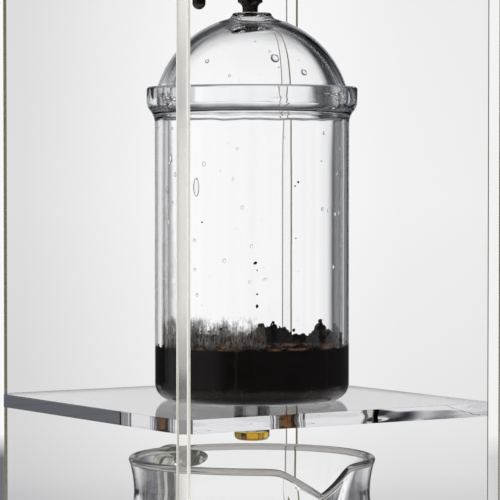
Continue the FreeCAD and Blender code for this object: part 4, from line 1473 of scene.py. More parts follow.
@dataclass
class Carafe:
    """Blown glass carafe with a dipped pouring lip and a drawn glass handle."""

    glass: Material
    beaded: Material
    drawn: Material
    height: float = 123.5
    wall: float = 2.6
    floor: float = 4.0
    punt: float = 1.0
    belly_radius: float = 66.0
    belly_height: float = 52.0
    heel_radius: float = 58.0
    heel_height: float = 14.0
    neck_radius: float = 53.6
    neck_height: float = 109.0
    rim_radius: float = 56.0
    lip_reach: float = 59.5
    lip_curve: float = 19.0
    lip_root_height: float = 98.0
    lip_root_curve: float = 12.0
    lip_dip: float = 12.0
    lip_half_width: float = 20.0
    lip_blend: float = 5.0
    dip_start: float = 84.0     # above this height the wall is drawn down towards the lip's dip
    handle_width: float = 13.0
    handle_thickness: float = 7.0
    handle_top: float = 117.0
    handle_shoulder: float = 121.0
    handle_foot: float = 44.0
    handle_elbow: float = 56.0
    handle_reach: float = 83.0
    handle_elbow_reach: float = 79.0
    handle_bend: float = 13.0
    rim_bead: float = 1.5       # radius of the fire-polished bead
    handle_flare: Pair = (1.5, 1.15)    # growth of its breadth and thickness where it is fused on
    flare_length: float = 9.0
    dip_softness: float = 2.2
    shell_steps: int = 288
    handle_steps: int = 40

    def __post_init__(self) -> None:
        """Find the carafe's axis and foot."""
        self.centre = middle("carafe_handle")[0], middle("brew_chamber")[1]
        self.base = level("base_plate")[1]

    def profile(self) -> Outline:
        """Outline of the carafe without its lip.

        Returns:
            The outline, from the foot over the rim to the floor.
        """
        climb = self.belly_height - self.heel_height
        step_in = self.belly_radius - self.heel_radius
        side_curve = (step_in ** 2 + climb ** 2) / (2 * step_in)
        lean = math.asin(climb / side_curve)
        heel_curve = self.heel_height / (1 - math.sin(lean))
        flat = self.heel_radius - heel_curve * math.cos(lean)
        flare_run = self.rim_radius - self.neck_radius
        flare_climb = self.height - self.neck_height
        flare = (flare_run ** 2 + flare_climb ** 2) / (2 * flare_run)
        wall = self.wall
        bead = self.rim_bead
        line = Outline(0.05, self.punt).to(flat - 6, self.punt, 6).bend(flat, 0.03, 22.0, Side.LEFT, 4)
        line.bend(self.heel_radius, self.heel_height, heel_curve, Side.RIGHT, 16)
        line.bend(self.belly_radius, self.belly_height, side_curve, Side.RIGHT, 18)
        line.ogee(self.neck_radius, self.neck_height, 16)
        line.bend(self.rim_radius, self.height - bead, flare, Side.LEFT, 10)
        line.bend(self.rim_radius - bead, self.height, bead, Side.RIGHT, 8)
        line.bend(self.rim_radius - 2 * bead, self.height - bead, bead, Side.RIGHT, 8)
        line.bend(self.rim_radius - wall - 0.3, self.height - 2 * bead, 2.6, Side.RIGHT, 4)
        line.bend(self.neck_radius - wall, self.neck_height, flare, Side.RIGHT, 10)
        line.ogee(self.belly_radius - wall, self.belly_height, 16)
        line.bend(self.heel_radius - wall, self.heel_height, side_curve, Side.LEFT, 18)
        inner_curve = (self.heel_height - self.floor) / (1 - math.sin(lean))
        inner_flat = self.heel_radius - wall - inner_curve * math.cos(lean)
        return line.bend(inner_flat, self.floor, inner_curve, Side.LEFT, 14).to(0.05, self.floor, 6)

    def lip_radius(self, away: float, height: float, shrink: float) -> float:
        """Distance from the axis to the lip's leaning cone.

        Args:
            away: Angle from the pouring direction.
            height: Over the carafe's foot.
            shrink: 0 outside, the wall's thickness inside.

        Returns:
            The distance, or 0 where the cone isn't met.
        """
        rise = (height - self.lip_root_height) / (self.height - self.lip_root_height)
        curve = self.lip_root_curve + (self.lip_curve - self.lip_root_curve) * rise - shrink
        root = self.neck_radius - self.lip_root_curve
        offset = root * (1 - rise) + (self.lip_reach - self.lip_curve) * rise
        aside = offset * math.sin(away)
        if rise < 0 or abs(aside) >= curve or math.cos(away) <= 0:
            return 0.0
        return offset * math.cos(away) + math.sqrt(curve ** 2 - aside ** 2)

    def dip(self, away: float) -> float:
        """Depth of the rim's dip under the level rim.

        Args:
            away: Angle from the pouring direction.

        Returns:
            The depth.
        """
        if math.cos(away) <= 0:
            return 0.0
        aside = abs(self.lip_reach * math.sin(away))
        slope = self.lip_dip * (1 - aside / self.lip_half_width)
        return (slope + math.sqrt(slope * slope + self.dip_softness * self.dip_softness)) / 2

    def shape(self, radius: float, height: float, angle: float, shrink: float) -> Vector:
        """Point of the carafe with the lip pushed out and the rim dipped.

        Args:
            radius: Of the plain profile.
            height: Of the plain profile.
            angle: Round the axis from +X.
            shrink: 0 outside, the wall's thickness inside.

        Returns:
            The point over the carafe's foot.
        """
        away = (angle + math.pi / 2 + math.pi) % FULL_TURN - math.pi
        if height > self.dip_start:
            span = self.height - self.dip_start
            height = self.dip_start + (height - self.dip_start) * (span - self.dip(away)) / span
        lip = self.lip_radius(away, height, shrink)
        near = max(self.lip_blend - abs(radius - lip), 0.0) / self.lip_blend
        reach = max(radius, lip) + near * near * self.lip_blend / 4 if lip > 0 else radius
        return Vector((reach * math.cos(angle), reach * math.sin(angle), height))

    def shell(self) -> None:
        """The glass body."""
        points = self.profile().points
        turning = max(range(len(points)), key=lambda index: points[index][1])
        place = upright(self.centre, self.base)
        loops = []
        for index, (radius, height) in enumerate(points):
            shrink = 0.0 if index <= turning else self.wall
            if height >= self.height - 2 * self.rim_bead - 0.01:
                shrink = self.rim_radius - radius
            loops.append([place @ self.shape(radius, height, angle, shrink)
                          for angle in angles(self.shell_steps)])
        piece = shaped("blown_carafe", loops)
        set_on(piece, "carafe", self.glass, "glass", "carafe")
        finish_faces(piece, self.beaded, self.in_bead)

    def in_bead(self, face: MeshPolygon) -> bool:
        """Tell the rim's bead, which dips with the lip, from the rest.

        Args:
            face: A face of the carafe.

        Returns:
            Whether it belongs to the bead.
        """
        x, y, z = face.center / MM
        away = (math.atan2(y - self.centre[1], x - self.centre[0]) + 1.5 * math.pi) % FULL_TURN - math.pi
        return z > self.base + self.height - self.dip(-away) - 2 * self.rim_bead

    def handle_path(self) -> list[Vector]:
        """Middle line of the handle.

        Returns:
            Its points from the neck to the belly, in reach and height.
        """
        corners = [Vector((self.neck_radius + 0.2, self.handle_top + 0.3)),
                   Vector((self.handle_reach, self.handle_shoulder)),
                   Vector((self.handle_elbow_reach, self.handle_elbow)),
                   Vector((self.belly_radius - 0.9, self.handle_foot + 4.4))]
        line = Outline(*corners[0])
        for before, corner, after in zip(corners, corners[1:], corners[2:]):
            back = (before - corner).normalized()
            onward = (after - corner).normalized()
            half = back.angle(onward) / 2
            reach = min(self.handle_bend / math.tan(half), (after - corner).length * 0.8)
            start = corner + back * reach
            end = corner + onward * reach
            line.to(*start, 8).bend(*end, reach * math.tan(half), Side.LEFT, 14)
        line.to(*corners[-1], 6)
        path = []
        for point in line.points:
            here = Vector(point)
            if not path or (here - path[-1]).length > 0.05:
                path.append(here)
        return path

    def handle(self) -> None:
        """The strap, drawn from a flattened rod and fused at both ends."""
        path = self.handle_path()
        place = upright(self.centre, self.base)
        total = sum((after - before).length for before, after in zip(path, path[1:]))
        loops = []
        run = 0.0
        for index, here in enumerate(path):
            before = path[max(index - 1, 0)]
            after = path[min(index + 1, len(path) - 1)]
            if index:
                run += (here - before).length
            along = (after - before).normalized()
            up = Vector((-along.y, along.x))
            end = min(run, total - run) / self.flare_length
            swell = [1 + (flare - 1) * max(1 - end, 0.0) ** 2 for flare in self.handle_flare]
            loop = []
            for angle in angles(self.handle_steps):
                aside = self.handle_width / 2 * swell[0] * math.cos(angle)
                rise = self.handle_thickness / 2 * swell[1] * math.sin(angle)
                loop.append(place @ Vector((aside, here.x + up.x * rise, here.y + up.y * rise)))
            loops.append(loop)
        set_on(shaped("drawn_carafe_handle", loops), "carafe", self.drawn, "glass", "carafe_handle")

    def build(self) -> None:
        """Make the carafe."""
        self.shell()
        self.handle()


# ---- water vessel and drip valve ------------------------------------------------------------------


@dataclass
class WaterVessel:
    """Glass globe with its lid and knob."""

    glass: Material
    metal: Material
    steel: Material
    radius: float = 52.0
    wall: float = 3.0
    hole: float = 5.3
    boss_radius: float = 12.0
    boss_depth: float = 0.9
    flat_radius: float = 10.0
    neck_radius: float = 27.0
    neck_top: float = 60.0
    lip: float = 1.5
    lid_radius: float = 30.0
    lid_thickness: float = 3.0
    lid_crown: float = 4.0
    plug_clearance: float = 0.5
    plug_depth: float = 8.0
    plug_wall: float = 2.6
    pad_radius: float = 7.0
    screw_bore: float = 2.05
    knob_radius: float = 9.0
    knob_neck: float = 5.0
    knob_neck_height: float = 4.0
    knob_height: float = 13.0
    knob_round: float = 2.5
    knurls: int = 36
    knurl_depth: float = 0.22

    def __post_init__(self) -> None:
        """Find the globe's middle."""
        self.centre = middle("water_vessel")
        self.globe = level("water_vessel")[0] + self.boss_depth + self.radius
        self.seat = self.globe + self.neck_top

    def shell(self) -> None:
        """The globe."""
        inner = self.radius - self.wall
        mouth = self.neck_radius - self.wall
        boss_root = -math.sqrt(self.radius ** 2 - self.boss_radius ** 2)
        neck_root = math.sqrt(self.radius ** 2 - self.neck_radius ** 2)
        mouth_root = math.sqrt(inner ** 2 - mouth ** 2)
        floor = -math.sqrt(inner ** 2 - self.flat_radius ** 2)
        bottom = -self.radius - self.boss_depth
        lip = self.neck_radius + self.lip
        lip_low = self.neck_top - 2 * self.lip
        line = Outline(self.hole, bottom + 0.02).to(self.boss_radius - 0.5, bottom + 0.02, 3)
        line.bend(self.boss_radius, bottom + 0.5, 0.5, Side.RIGHT, 4).to(self.boss_radius, boss_root)
        line.bend(self.neck_radius + 0.6, neck_root - 0.4, self.radius, Side.RIGHT, 60)
        line.bend(self.neck_radius, neck_root + 1.2, 1.8, Side.LEFT, 5)
        line.to(self.neck_radius, lip_low - self.lip, 3).bend(lip, lip_low + 0.1, 1.7, Side.RIGHT, 6)
        line.to(lip, self.neck_top - self.lip).bend(self.neck_radius, self.neck_top, self.lip, Side.RIGHT, 6)
        line.to(mouth + 0.6, self.neck_top).bend(mouth, self.neck_top - 0.6, 0.6, Side.RIGHT, 4)
        line.to(mouth, mouth_root + 0.8, 3).bend(mouth + 0.5, mouth_root - 0.4, 1.5, Side.RIGHT, 4)
        line.bend(self.flat_radius, floor, inner, Side.LEFT, 60).to(self.hole, floor, 2)
        piece = turned("blown_water_vessel", line, upright(self.centre, self.globe))
        set_on(piece, "vessel", self.glass, "glass", "water_vessel")

    def lid(self) -> None:
        """Pressed glass lid with its plug."""
        plug = self.neck_radius - self.wall - self.plug_clearance
        plug_inside = plug - self.plug_wall
        top = self.lid_crown + self.lid_thickness
        under_run = plug_inside - self.pad_radius
        under = (self.lid_crown ** 2 + under_run ** 2) / (2 * self.lid_crown)
        over_run = self.lid_radius - self.pad_radius
        over = (self.lid_crown ** 2 + over_run ** 2) / (2 * self.lid_crown)
        line = Outline(self.screw_bore, self.lid_crown).to(self.pad_radius, self.lid_crown, 2)
        line.bend(plug_inside, 0, under, Side.LEFT, 10).to(plug_inside, 1.0 - self.plug_depth, 4)
        line.bend(plug_inside + 1.0, -self.plug_depth, 1.0, Side.LEFT, 4).to(plug - 1.0, -self.plug_depth)
        line.bend(plug, 1.0 - self.plug_depth, 1.0, Side.RIGHT, 4).to(plug, 0.05, 4)
        line.to(self.lid_radius - 0.8, 0.05, 2).bend(self.lid_radius, 0.85, 0.8, Side.RIGHT, 4)
        line.to(self.lid_radius, self.lid_thickness - 0.8)
        line.bend(self.lid_radius - 1.0, self.lid_thickness + 0.2, 1.0, Side.RIGHT, 4)
        line.bend(self.pad_radius, top, over, Side.RIGHT, 12).to(self.screw_bore, top, 2)
        piece = turned("pressed_vessel_lid", line, upright(self.centre, self.seat))
        set_on(piece, "vessel_cover", self.glass, "glass", "vessel_lid")

    def knob(self) -> None:
        """Turned knob with a knurled grip and a dished top."""
        foot = self.lid_crown + self.lid_thickness
        top = foot + self.knob_height
        grip_low = foot + self.knob_neck_height + self.knob_round
        grip_high = top - self.knob_round
        line = Outline(self.screw_bore, foot + 0.02).to(self.knob_neck, foot + 0.02)
        line.to(self.knob_neck, foot + self.knob_neck_height - 1).bend(
            self.knob_neck + 1, foot + self.knob_neck_height, 1.0, Side.LEFT, 4)
        line.to(self.knob_radius - 0.4, grip_low - 0.5).to(self.knob_radius, grip_low, 2)
        line.to(self.knob_radius, grip_high, 6)
        line.bend(self.knob_radius - self.knob_round, top, self.knob_round, Side.RIGHT, 8)
        line.to(3.0, top).bend(0.05, top - 0.4, 12.0, Side.LEFT, 4)
        steps = self.knurls * 6
        loops = turned_loops(line, steps, Matrix.Identity(4))
        place = upright(self.centre, self.seat)
        for loop in loops:
            for step, point in enumerate(loop):
                grip = max(min((point.z - grip_low) / 0.6, (grip_high - point.z) / 0.6, 1.0), 0.0)
                if point.xy.length > self.knob_radius - 0.2:
                    wave = 0.5 - 0.5 * math.cos(self.knurls * FULL_TURN * step / steps)
                    cut = self.knurl_depth * grip * wave
                    point.xy *= 1 - cut / self.knob_radius
            loop[:] = [place @ point for point in loop]
        set_on(shaped("knurled_lid_knob", loops), "vessel_cover", self.metal, "valve_metal", "lid_knob")

    def build(self) -> None:
        """Make the vessel and its lid."""
        self.shell()
        self.lid()
        self.knob()
        dress_node("lid_screw", self.steel)


@dataclass
class DripValve:
    """Stopcock under the vessel, with its nozzle and hanging lever."""

    metal: Material
    steel: Material
    silicone: Material
    nozzle_shank: float = 3.2
    nozzle_shank_length: float = 4.5
    nozzle_flange_radius: float = 5.65
    nozzle_flange: float = 2.7
    nozzle_cone: float = 2.2
    nozzle_radius: float = 3.5
    nozzle_length: float = 10.4
    nozzle_bore: float = 1.2
    nut_flats: float = 15.0
    nut_thickness: float = 4.0
    nut_bore: float = 5.05
    chamfer: float = 0.5
    gland_flats: float = 12.0
    gland_thickness: float = 4.0
    gland_bore: float = 2.65
    rod_radius: float = 2.95
    lever_length: float = 20.5
    hub_radius: float = 5.5
    hub_length: float = 7.0
    stem_radius: float = 2.65

    def __post_init__(self) -> None:
        """Find the valve's axis and the spindle's height."""
        self.centre = middle("drip_nozzle")
        self.foot = level("valve_body")[0]
        low, high = level("valve_spindle")
        self.spindle = (low + high) / 2

    def nozzle(self) -> None:
        """Flanged drip nozzle with a turned groove over its tip."""
        under = -self.nozzle_flange
        tip = under - self.nozzle_length
        line = Outline(self.nozzle_bore, tip + 0.4).to(self.nozzle_bore + 0.5, tip)
        line.to(self.nozzle_radius - 0.6, tip)
        line.bend(self.nozzle_radius, tip + 0.6, 0.6, Side.RIGHT, 5).to(self.nozzle_radius, tip + 3.2)
        line.to(self.nozzle_radius - 0.25, tip + 3.4).to(self.nozzle_radius - 0.25, tip + 3.8)
        line.to(self.nozzle_radius, tip + 4.0).to(self.nozzle_radius, under - self.nozzle_cone)
        line.bend(self.nozzle_flange_radius - 0.4, under, 2.6, Side.LEFT, 6)
        line.to(self.nozzle_flange_radius, under + 0.35).to(self.nozzle_flange_radius, -0.4)
        line.to(self.nozzle_flange_radius - 0.35, -0.05).to(self.nozzle_shank, -0.05)
        line.to(self.nozzle_shank, self.nozzle_shank_length - 0.4)
        line.to(self.nozzle_shank - 0.4, self.nozzle_shank_length)
        line.to(self.nozzle_bore, self.nozzle_shank_length)
        piece = turned("turned_drip_nozzle", line, upright(self.centre, self.foot), SMALL_STEPS)
        set_on(piece, "vessel", self.metal, "valve_metal", "drip_nozzle")

    def nut(self, name: str, node: str, flats: float, thickness: float, bore: float, place: Matrix) -> None:
        """Hexagon nut with chamfered corners.

        Args:
            name: Name of the piece.
            node: The CAD node that it stands for.
            flats: Size across the flats.
            thickness: Its height.
            bore: Radius of its hole.
            place: Its foot and axis.
        """

        def ring(radius: float, height: float) -> Loop:
            """Round loop of the nut."""
            return turned_loops(Outline(radius, height), SMALL_STEPS, place)[0]

        def hexagon(height: float) -> Loop:
            """Six-sided loop of the nut."""
            return regular_loop(6, flats, SMALL_STEPS, place @ Matrix.Translation((0, 0, height)))

        loops = [ring(bore, 0.4), ring(bore + 0.4, 0.02), ring(flats / 2 - 0.1, 0.02), hexagon(self.chamfer),
                 hexagon(thickness - self.chamfer), ring(flats / 2 - 0.1, thickness - 0.02),
                 ring(bore + 0.4, thickness - 0.02), ring(bore, thickness - 0.4)]
        set_on(shaped(name, loops, ring=True), "vessel", self.metal, "valve_metal", node)

    def lever(self) -> None:
        """Round-ended lever on its hub."""
        low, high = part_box("valve_lever")
        middle_x = (low[0] + high[0]) / 2 / MM
        half = self.hub_length / 2
        hub = Outline(self.stem_radius, -half).to(self.hub_radius - 0.7, -half)
        hub.bend(self.hub_radius, 0.7 - half, 0.7, Side.RIGHT, 4).to(self.hub_radius, half - 0.7)
        hub.bend(self.hub_radius - 0.7, half, 0.7, Side.RIGHT, 4).to(self.stem_radius, half)
        form = bmesh.new()
        axle = crosswise((middle_x, self.centre[1]), self.spindle)
        skin(form, turned_loops(hub, SMALL_STEPS, axle), ring=True)
        straight = self.rod_radius - self.lever_length
        arm = Outline(0.02, -self.lever_length)
        arm.bend(self.rod_radius, straight, self.rod_radius, Side.RIGHT, 10).to(self.rod_radius, -9.0, 4)
        arm.bend(self.rod_radius - 0.5, -7.5, 3.0, Side.RIGHT, 4)
        arm.to(self.rod_radius - 0.5, -3.2).to(0.02, -3.2)
        skin(form, turned_loops(arm, SMALL_STEPS, upright((middle_x, self.centre[1]), self.spindle)))
        set_on(publish(form, "hanging_valve_lever"), "lever", self.metal, "valve_metal", "valve_lever")

    def build(self) -> None:
        """Make the valve."""
        self.nozzle()
        self.lever()
        nut_foot = level("valve_nut")[0]
        self.nut("chamfered_valve_nut", "valve_nut", self.nut_flats, self.nut_thickness, self.nut_bore,
                 upright(self.centre, nut_foot))
        _, gland_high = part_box("gland_nut")
        self.nut("chamfered_gland_nut", "gland_nut", self.gland_flats, self.gland_thickness, self.gland_bore,
                 crosswise((gland_high[0] / MM, self.centre[1]), self.spindle))
        for node in ("valve_body", "valve_spindle"):
            dress_node(node, self.metal)
        for node in ("valve_washers", "packing_ring"):
            dress_node(node, self.silicone)
        dress_node("lever_screw", self.steel)


# ---- stage ---------------------------------------------------------------------------------------


@dataclass
class Studio:
    """Floor, pale surroundings with soft windows, lamps and the camera."""

    floor_radius: float = 1150.0
    floor_paint: str = "d2d2d3"
    eye: tuple[float, float, float] = (-683.4, -1064.5, 266.0)
    target: tuple[float, float, float] = (2.91, -1.87, 227.4)
    lens: float = 200.2
    # Brightness of the surroundings, degrees to the right of the way the camera looks: soft windows
    # between dark gaps, which draw the dark lines in the glass.
    panorama: Stops = (
        (-136, 0.05), (-134, 0.95), (-111, 0.95), (-109, 0.04), (-92, 0.04), (-90, 0.95), (-75, 0.95),
        (-73, 0.06), (-70.5, 0.95), (-69.0, 0.05), (-44, 0.04), (-42, 0.90), (-23, 0.90), (-21, 0.05),
        (-19, 0.65), (-12, 0.65), (-11, 0.12), (-8.5, 0.97), (8, 0.87), (9, 0.03), (19, 0.04), (21, 0.35),
        (27, 0.35), (29.5, 0.1), (33, 0.6), (37, 0.6), (40, 0.04), (88, 0.04), (90, 0.95), (110, 0.95),
        (111, 0.2), (120, 0.17))
    # The same near the floor, where the bright part of the wall is narrower.
    low_panorama: Stops = (
        (-136, 0.05), (-134, 0.9), (-111, 0.9), (-109, 0.04), (-92, 0.04), (-90, 0.9), (-68, 0.9),
        (-67, 0.05), (-44, 0.04), (-41, 0.6), (-33, 0.6), (-30, 0.05), (-6.6, 0.05), (-6.3, 0.8), (-5.9, 0.8),
        (-5.6, 0.05), (-4.4, 0.05), (-3.9, 0.80), (5.4, 0.80), (6.0, 0.06), (19, 0.05), (24, 0.3), (27, 0.3),
        (30, 0.04), (88, 0.04), (90, 0.9), (110, 0.9), (112, 0.05))
    # More windows round the rest of the room, so that the glass is clear from every side.
    round_about: Stops = (
        (-176, 0), (-172, 0.6), (-142, 0.6), (-138, 0), (-107, 0), (-105, 0.6), (-97, 0.6), (-95, 0),
        (-64, 0), (-61, 0.6), (-50, 0.6), (-47, 0), (45, 0), (48, 0.6), (80, 0.6), (83, 0),
        (127, 0), (130, 0.6), (149, 0.6), (152, 0), (160, 0), (163, 0.6), (175, 0.6), (178, 0))
    low_start: float = -5.5
    low_end: float = -6.0
    # The same for what shines on gloss: the bright wall behind, and a strip that streaks the metal.
    sheen: Stops = (
        (-150, 0.02), (-135, 0.5), (-70, 0.5), (-55, 0.02), (-16, 0.05), (-11, 0.6), (11, 0.6), (16, 0.05))
    # What the camera itself sees behind the tower, across and upward, in degrees.
    across: Stops = (
        (-10, 0.76), (-7, 0.70), (-4.7, 0.745), (-3.1, 0.845), (-1.5, 0.93), (0, 0.965), (1.5, 0.935),
        (3.1, 0.885), (4.5, 0.87), (7, 0.80), (10, 0.76))
    upward: Stops = (
        (-8, 0.66), (-6.9, 0.74), (-6.3, 0.84), (-5.4, 0.91), (-3.8, 0.945), (-0.7, 1.0), (2.4, 0.985),
        (5, 0.96))
    # How much of that is left, in degrees over the horizon.
    heights: Stops = ((-40, 0.10), (-26, 0.6), (-9, 1.0), (7, 1.0), (13, 0.5), (19, 0.12))
    through_glass: float = 1.06  # makes up for what glass walls throw back
    seen_span: float = 10.0     # degrees that across and upward reach to both sides
    ambient: float = 0.62       # light on matt surfaces

    def floor(self) -> None:
        """Round sheet of pale paper under the tower."""
        form = bmesh.new()
        line = Outline(1.0, -0.5)
        for step in range(1, 25):
            line.to(self.floor_radius * step / 24, -0.5)
        rows = turned_loops(line, 96, Matrix.Identity(4))
        verts = [[form.verts.new(point * MM) for point in loop] for loop in rows]
        form.faces.new(verts[0])
        for lower, upper in zip(verts, verts[1:]):
            for index in range(len(lower)):
                after = (index + 1) % len(lower)
                form.faces.new((lower[index], upper[index], upper[after], lower[after]))
        sheet = publish(form, "paper_floor")
        near, far = self.floor_radius * 0.3, self.floor_radius * 0.75
        # Matt studio paper: an even pale grey without shine.
        sheet.data.materials.append(StagePaint("matt_studio_paper", self.floor_paint, near, far).material())

    def ramp(self, tree: NodeTree, angle: NodeSocket, stops: Stops, span: float = 180.0) -> NodeSocket:
        """Brightness that follows an angle.

        Args:
            tree: The world's tree.
            angle: The angle, in radians.
            stops: Degrees and brightness, in order.
            span: The degrees that it reaches to both sides.

        Returns:
            The socket of the brightness.
        """
        share = add(
            tree, "MapRange", From_Min=-math.radians(span), From_Max=math.radians(span), Value=angle)
        band = add(tree, "ValToRGB", Fac=share)
        marks = band.color_ramp.elements
        marks.remove(marks[1])
        for number, (degrees, light) in enumerate(stops):
            place = degrees / span / 2 + 0.5
            mark = marks.new(place) if number else marks[0]
            mark.position = place
            mark.color = (light, light, light, 1.0)
        return band.outputs["Color"]

    def world(self) -> None:
        """Pale surroundings for the camera, windows between dark gaps for glass and metal."""
        world = bpy.data.worlds.new("studio")
        bpy.context.scene.world = world
        world.use_nodes = True
        tree = world.node_tree
        tree.nodes.clear()
        way = add(tree, "TexCoord").outputs["Generated"]
        main = (Vector(self.target) - Vector(self.eye)).normalized()
        ahead = Vector((main.x, main.y, 0)).normalized()
        right = Vector((ahead.y, -ahead.x, 0))
        aside, onward = [
            add(tree, "VectorMath", way, tuple(axis), operation="DOT_PRODUCT").outputs["Value"]
            for axis in (right, ahead)]
        turn = add(tree, "Math", aside, onward, operation="ARCTAN2").outputs[0]
        rise = add(tree, "SeparateXYZ", Vector=way).outputs["Z"]
        climb = add(tree, "Math", rise, operation="ARCSINE").outputs[0]
        tall = self.ramp(tree, climb, self.heights)
        low = add(
            tree, "MapRange", From_Min=math.radians(self.low_start), From_Max=math.radians(self.low_end),
            Value=climb)
        around = add(
            tree, "Mix", Factor=low, A=self.ramp(tree, turn, self.panorama),
            B=self.ramp(tree, turn, self.low_panorama))
        around = add(
            tree, "Math", around, self.ramp(tree, turn, self.round_about), operation="MAXIMUM")
        refracted = add(tree, "Math", around, tall, operation="MULTIPLY")
        lifted = add(tree, "Math", refracted, self.through_glass, operation="MULTIPLY")
        mirrored = add(tree, "Math", self.ramp(tree, turn, self.sheen), tall, operation="MULTIPLY")
        glow = add(
            tree, "Math", self.ramp(tree, turn, self.across, self.seen_span),
            self.ramp(tree, climb, self.upward, self.seen_span), operation="MULTIPLY")
        ray = add(tree, "LightPath").outputs
        strength = add(tree, "Mix", A=self.ambient, Factor=ray["Is Glossy Ray"], B=mirrored)
        strength = add(tree, "Mix", Factor=ray["Is Transmission Ray"], A=strength, B=lifted)
        strength = add(tree, "Mix", Factor=ray["Is Camera Ray"], A=strength, B=glow)
        # The dark of the room is a little blue.
        lit = add(tree, "Math", strength, 1.6, operation="MULTIPLY", use_clamp=True)
        hue = add(tree, "MixRGB", Color1=colour("dde1f2"), Color2=colour("fefeff"), Fac=lit)
        add(tree, "OutputWorld", Surface=add(tree, "Background", Color=hue, Strength=strength))

    def lamp(self, name: str, place: tuple[float, float, float], size: float, watts: float) -> None:
        """Soft area lamp that looks at the tower.

        Args:
            name: Name of the lamp.
            place: Where it hangs, in millimetres.
            size: Its side, in millimetres.
            watts: Its power.
        """
        data = bpy.data.lights.new(name, "AREA")
        data.size = size * MM
        data.energy = watts
        lamp = bpy.data.objects.new(name, data)
        lamp.location = Vector(place) * MM
        towards = Vector((0, 0, 0.2)) - lamp.location
        lamp.rotation_mode = "QUATERNION"
        lamp.rotation_quaternion = towards.to_track_quat("-Z", "Y")
        lamp.visible_camera = False
        lamp.visible_transmission = False
        lamp.visible_glossy = False
        bpy.context.scene.collection.objects.link(lamp)

    def camera(self) -> None:
        """Long lens at the height of the brew chamber."""
        data = bpy.data.cameras.new("eye")
        data.lens = self.lens
        data.sensor_width = 36.0
        data.clip_start = 0.05
        data.clip_end = 50.0
        eye = bpy.data.objects.new("eye", data)
        eye.location = Vector(self.eye) * MM
        eye.rotation_mode = "QUATERNION"
        eye.rotation_quaternion = (Vector(self.target) - Vector(self.eye)).to_track_quat("-Z", "Y")
        bpy.context.scene.collection.objects.link(eye)
        bpy.context.scene.camera = eye

    def build(self) -> None:
        """Set the stage."""
        self.floor()
        self.world()
        self.lamp("soft_key", (-1500.0, -900.0, 1500.0), 1100.0, 26.0)
        self.lamp("soft_fill", (1500.0, -700.0, 1000.0), 1200.0, 12.0)
        self.lamp("soft_top", (200.0, 600.0, 2000.0), 1400.0, 20.0)
        self.camera()
        scene = bpy.context.scene
        scene.view_settings.view_transform = "Standard"
        scene.cycles.max_bounces = 28
        scene.cycles.transmission_bounces = 28
        scene.cycles.transparent_max_bounces = 24
        scene.cycles.caustics_reflective = False
        scene.cycles.caustics_refractive = False


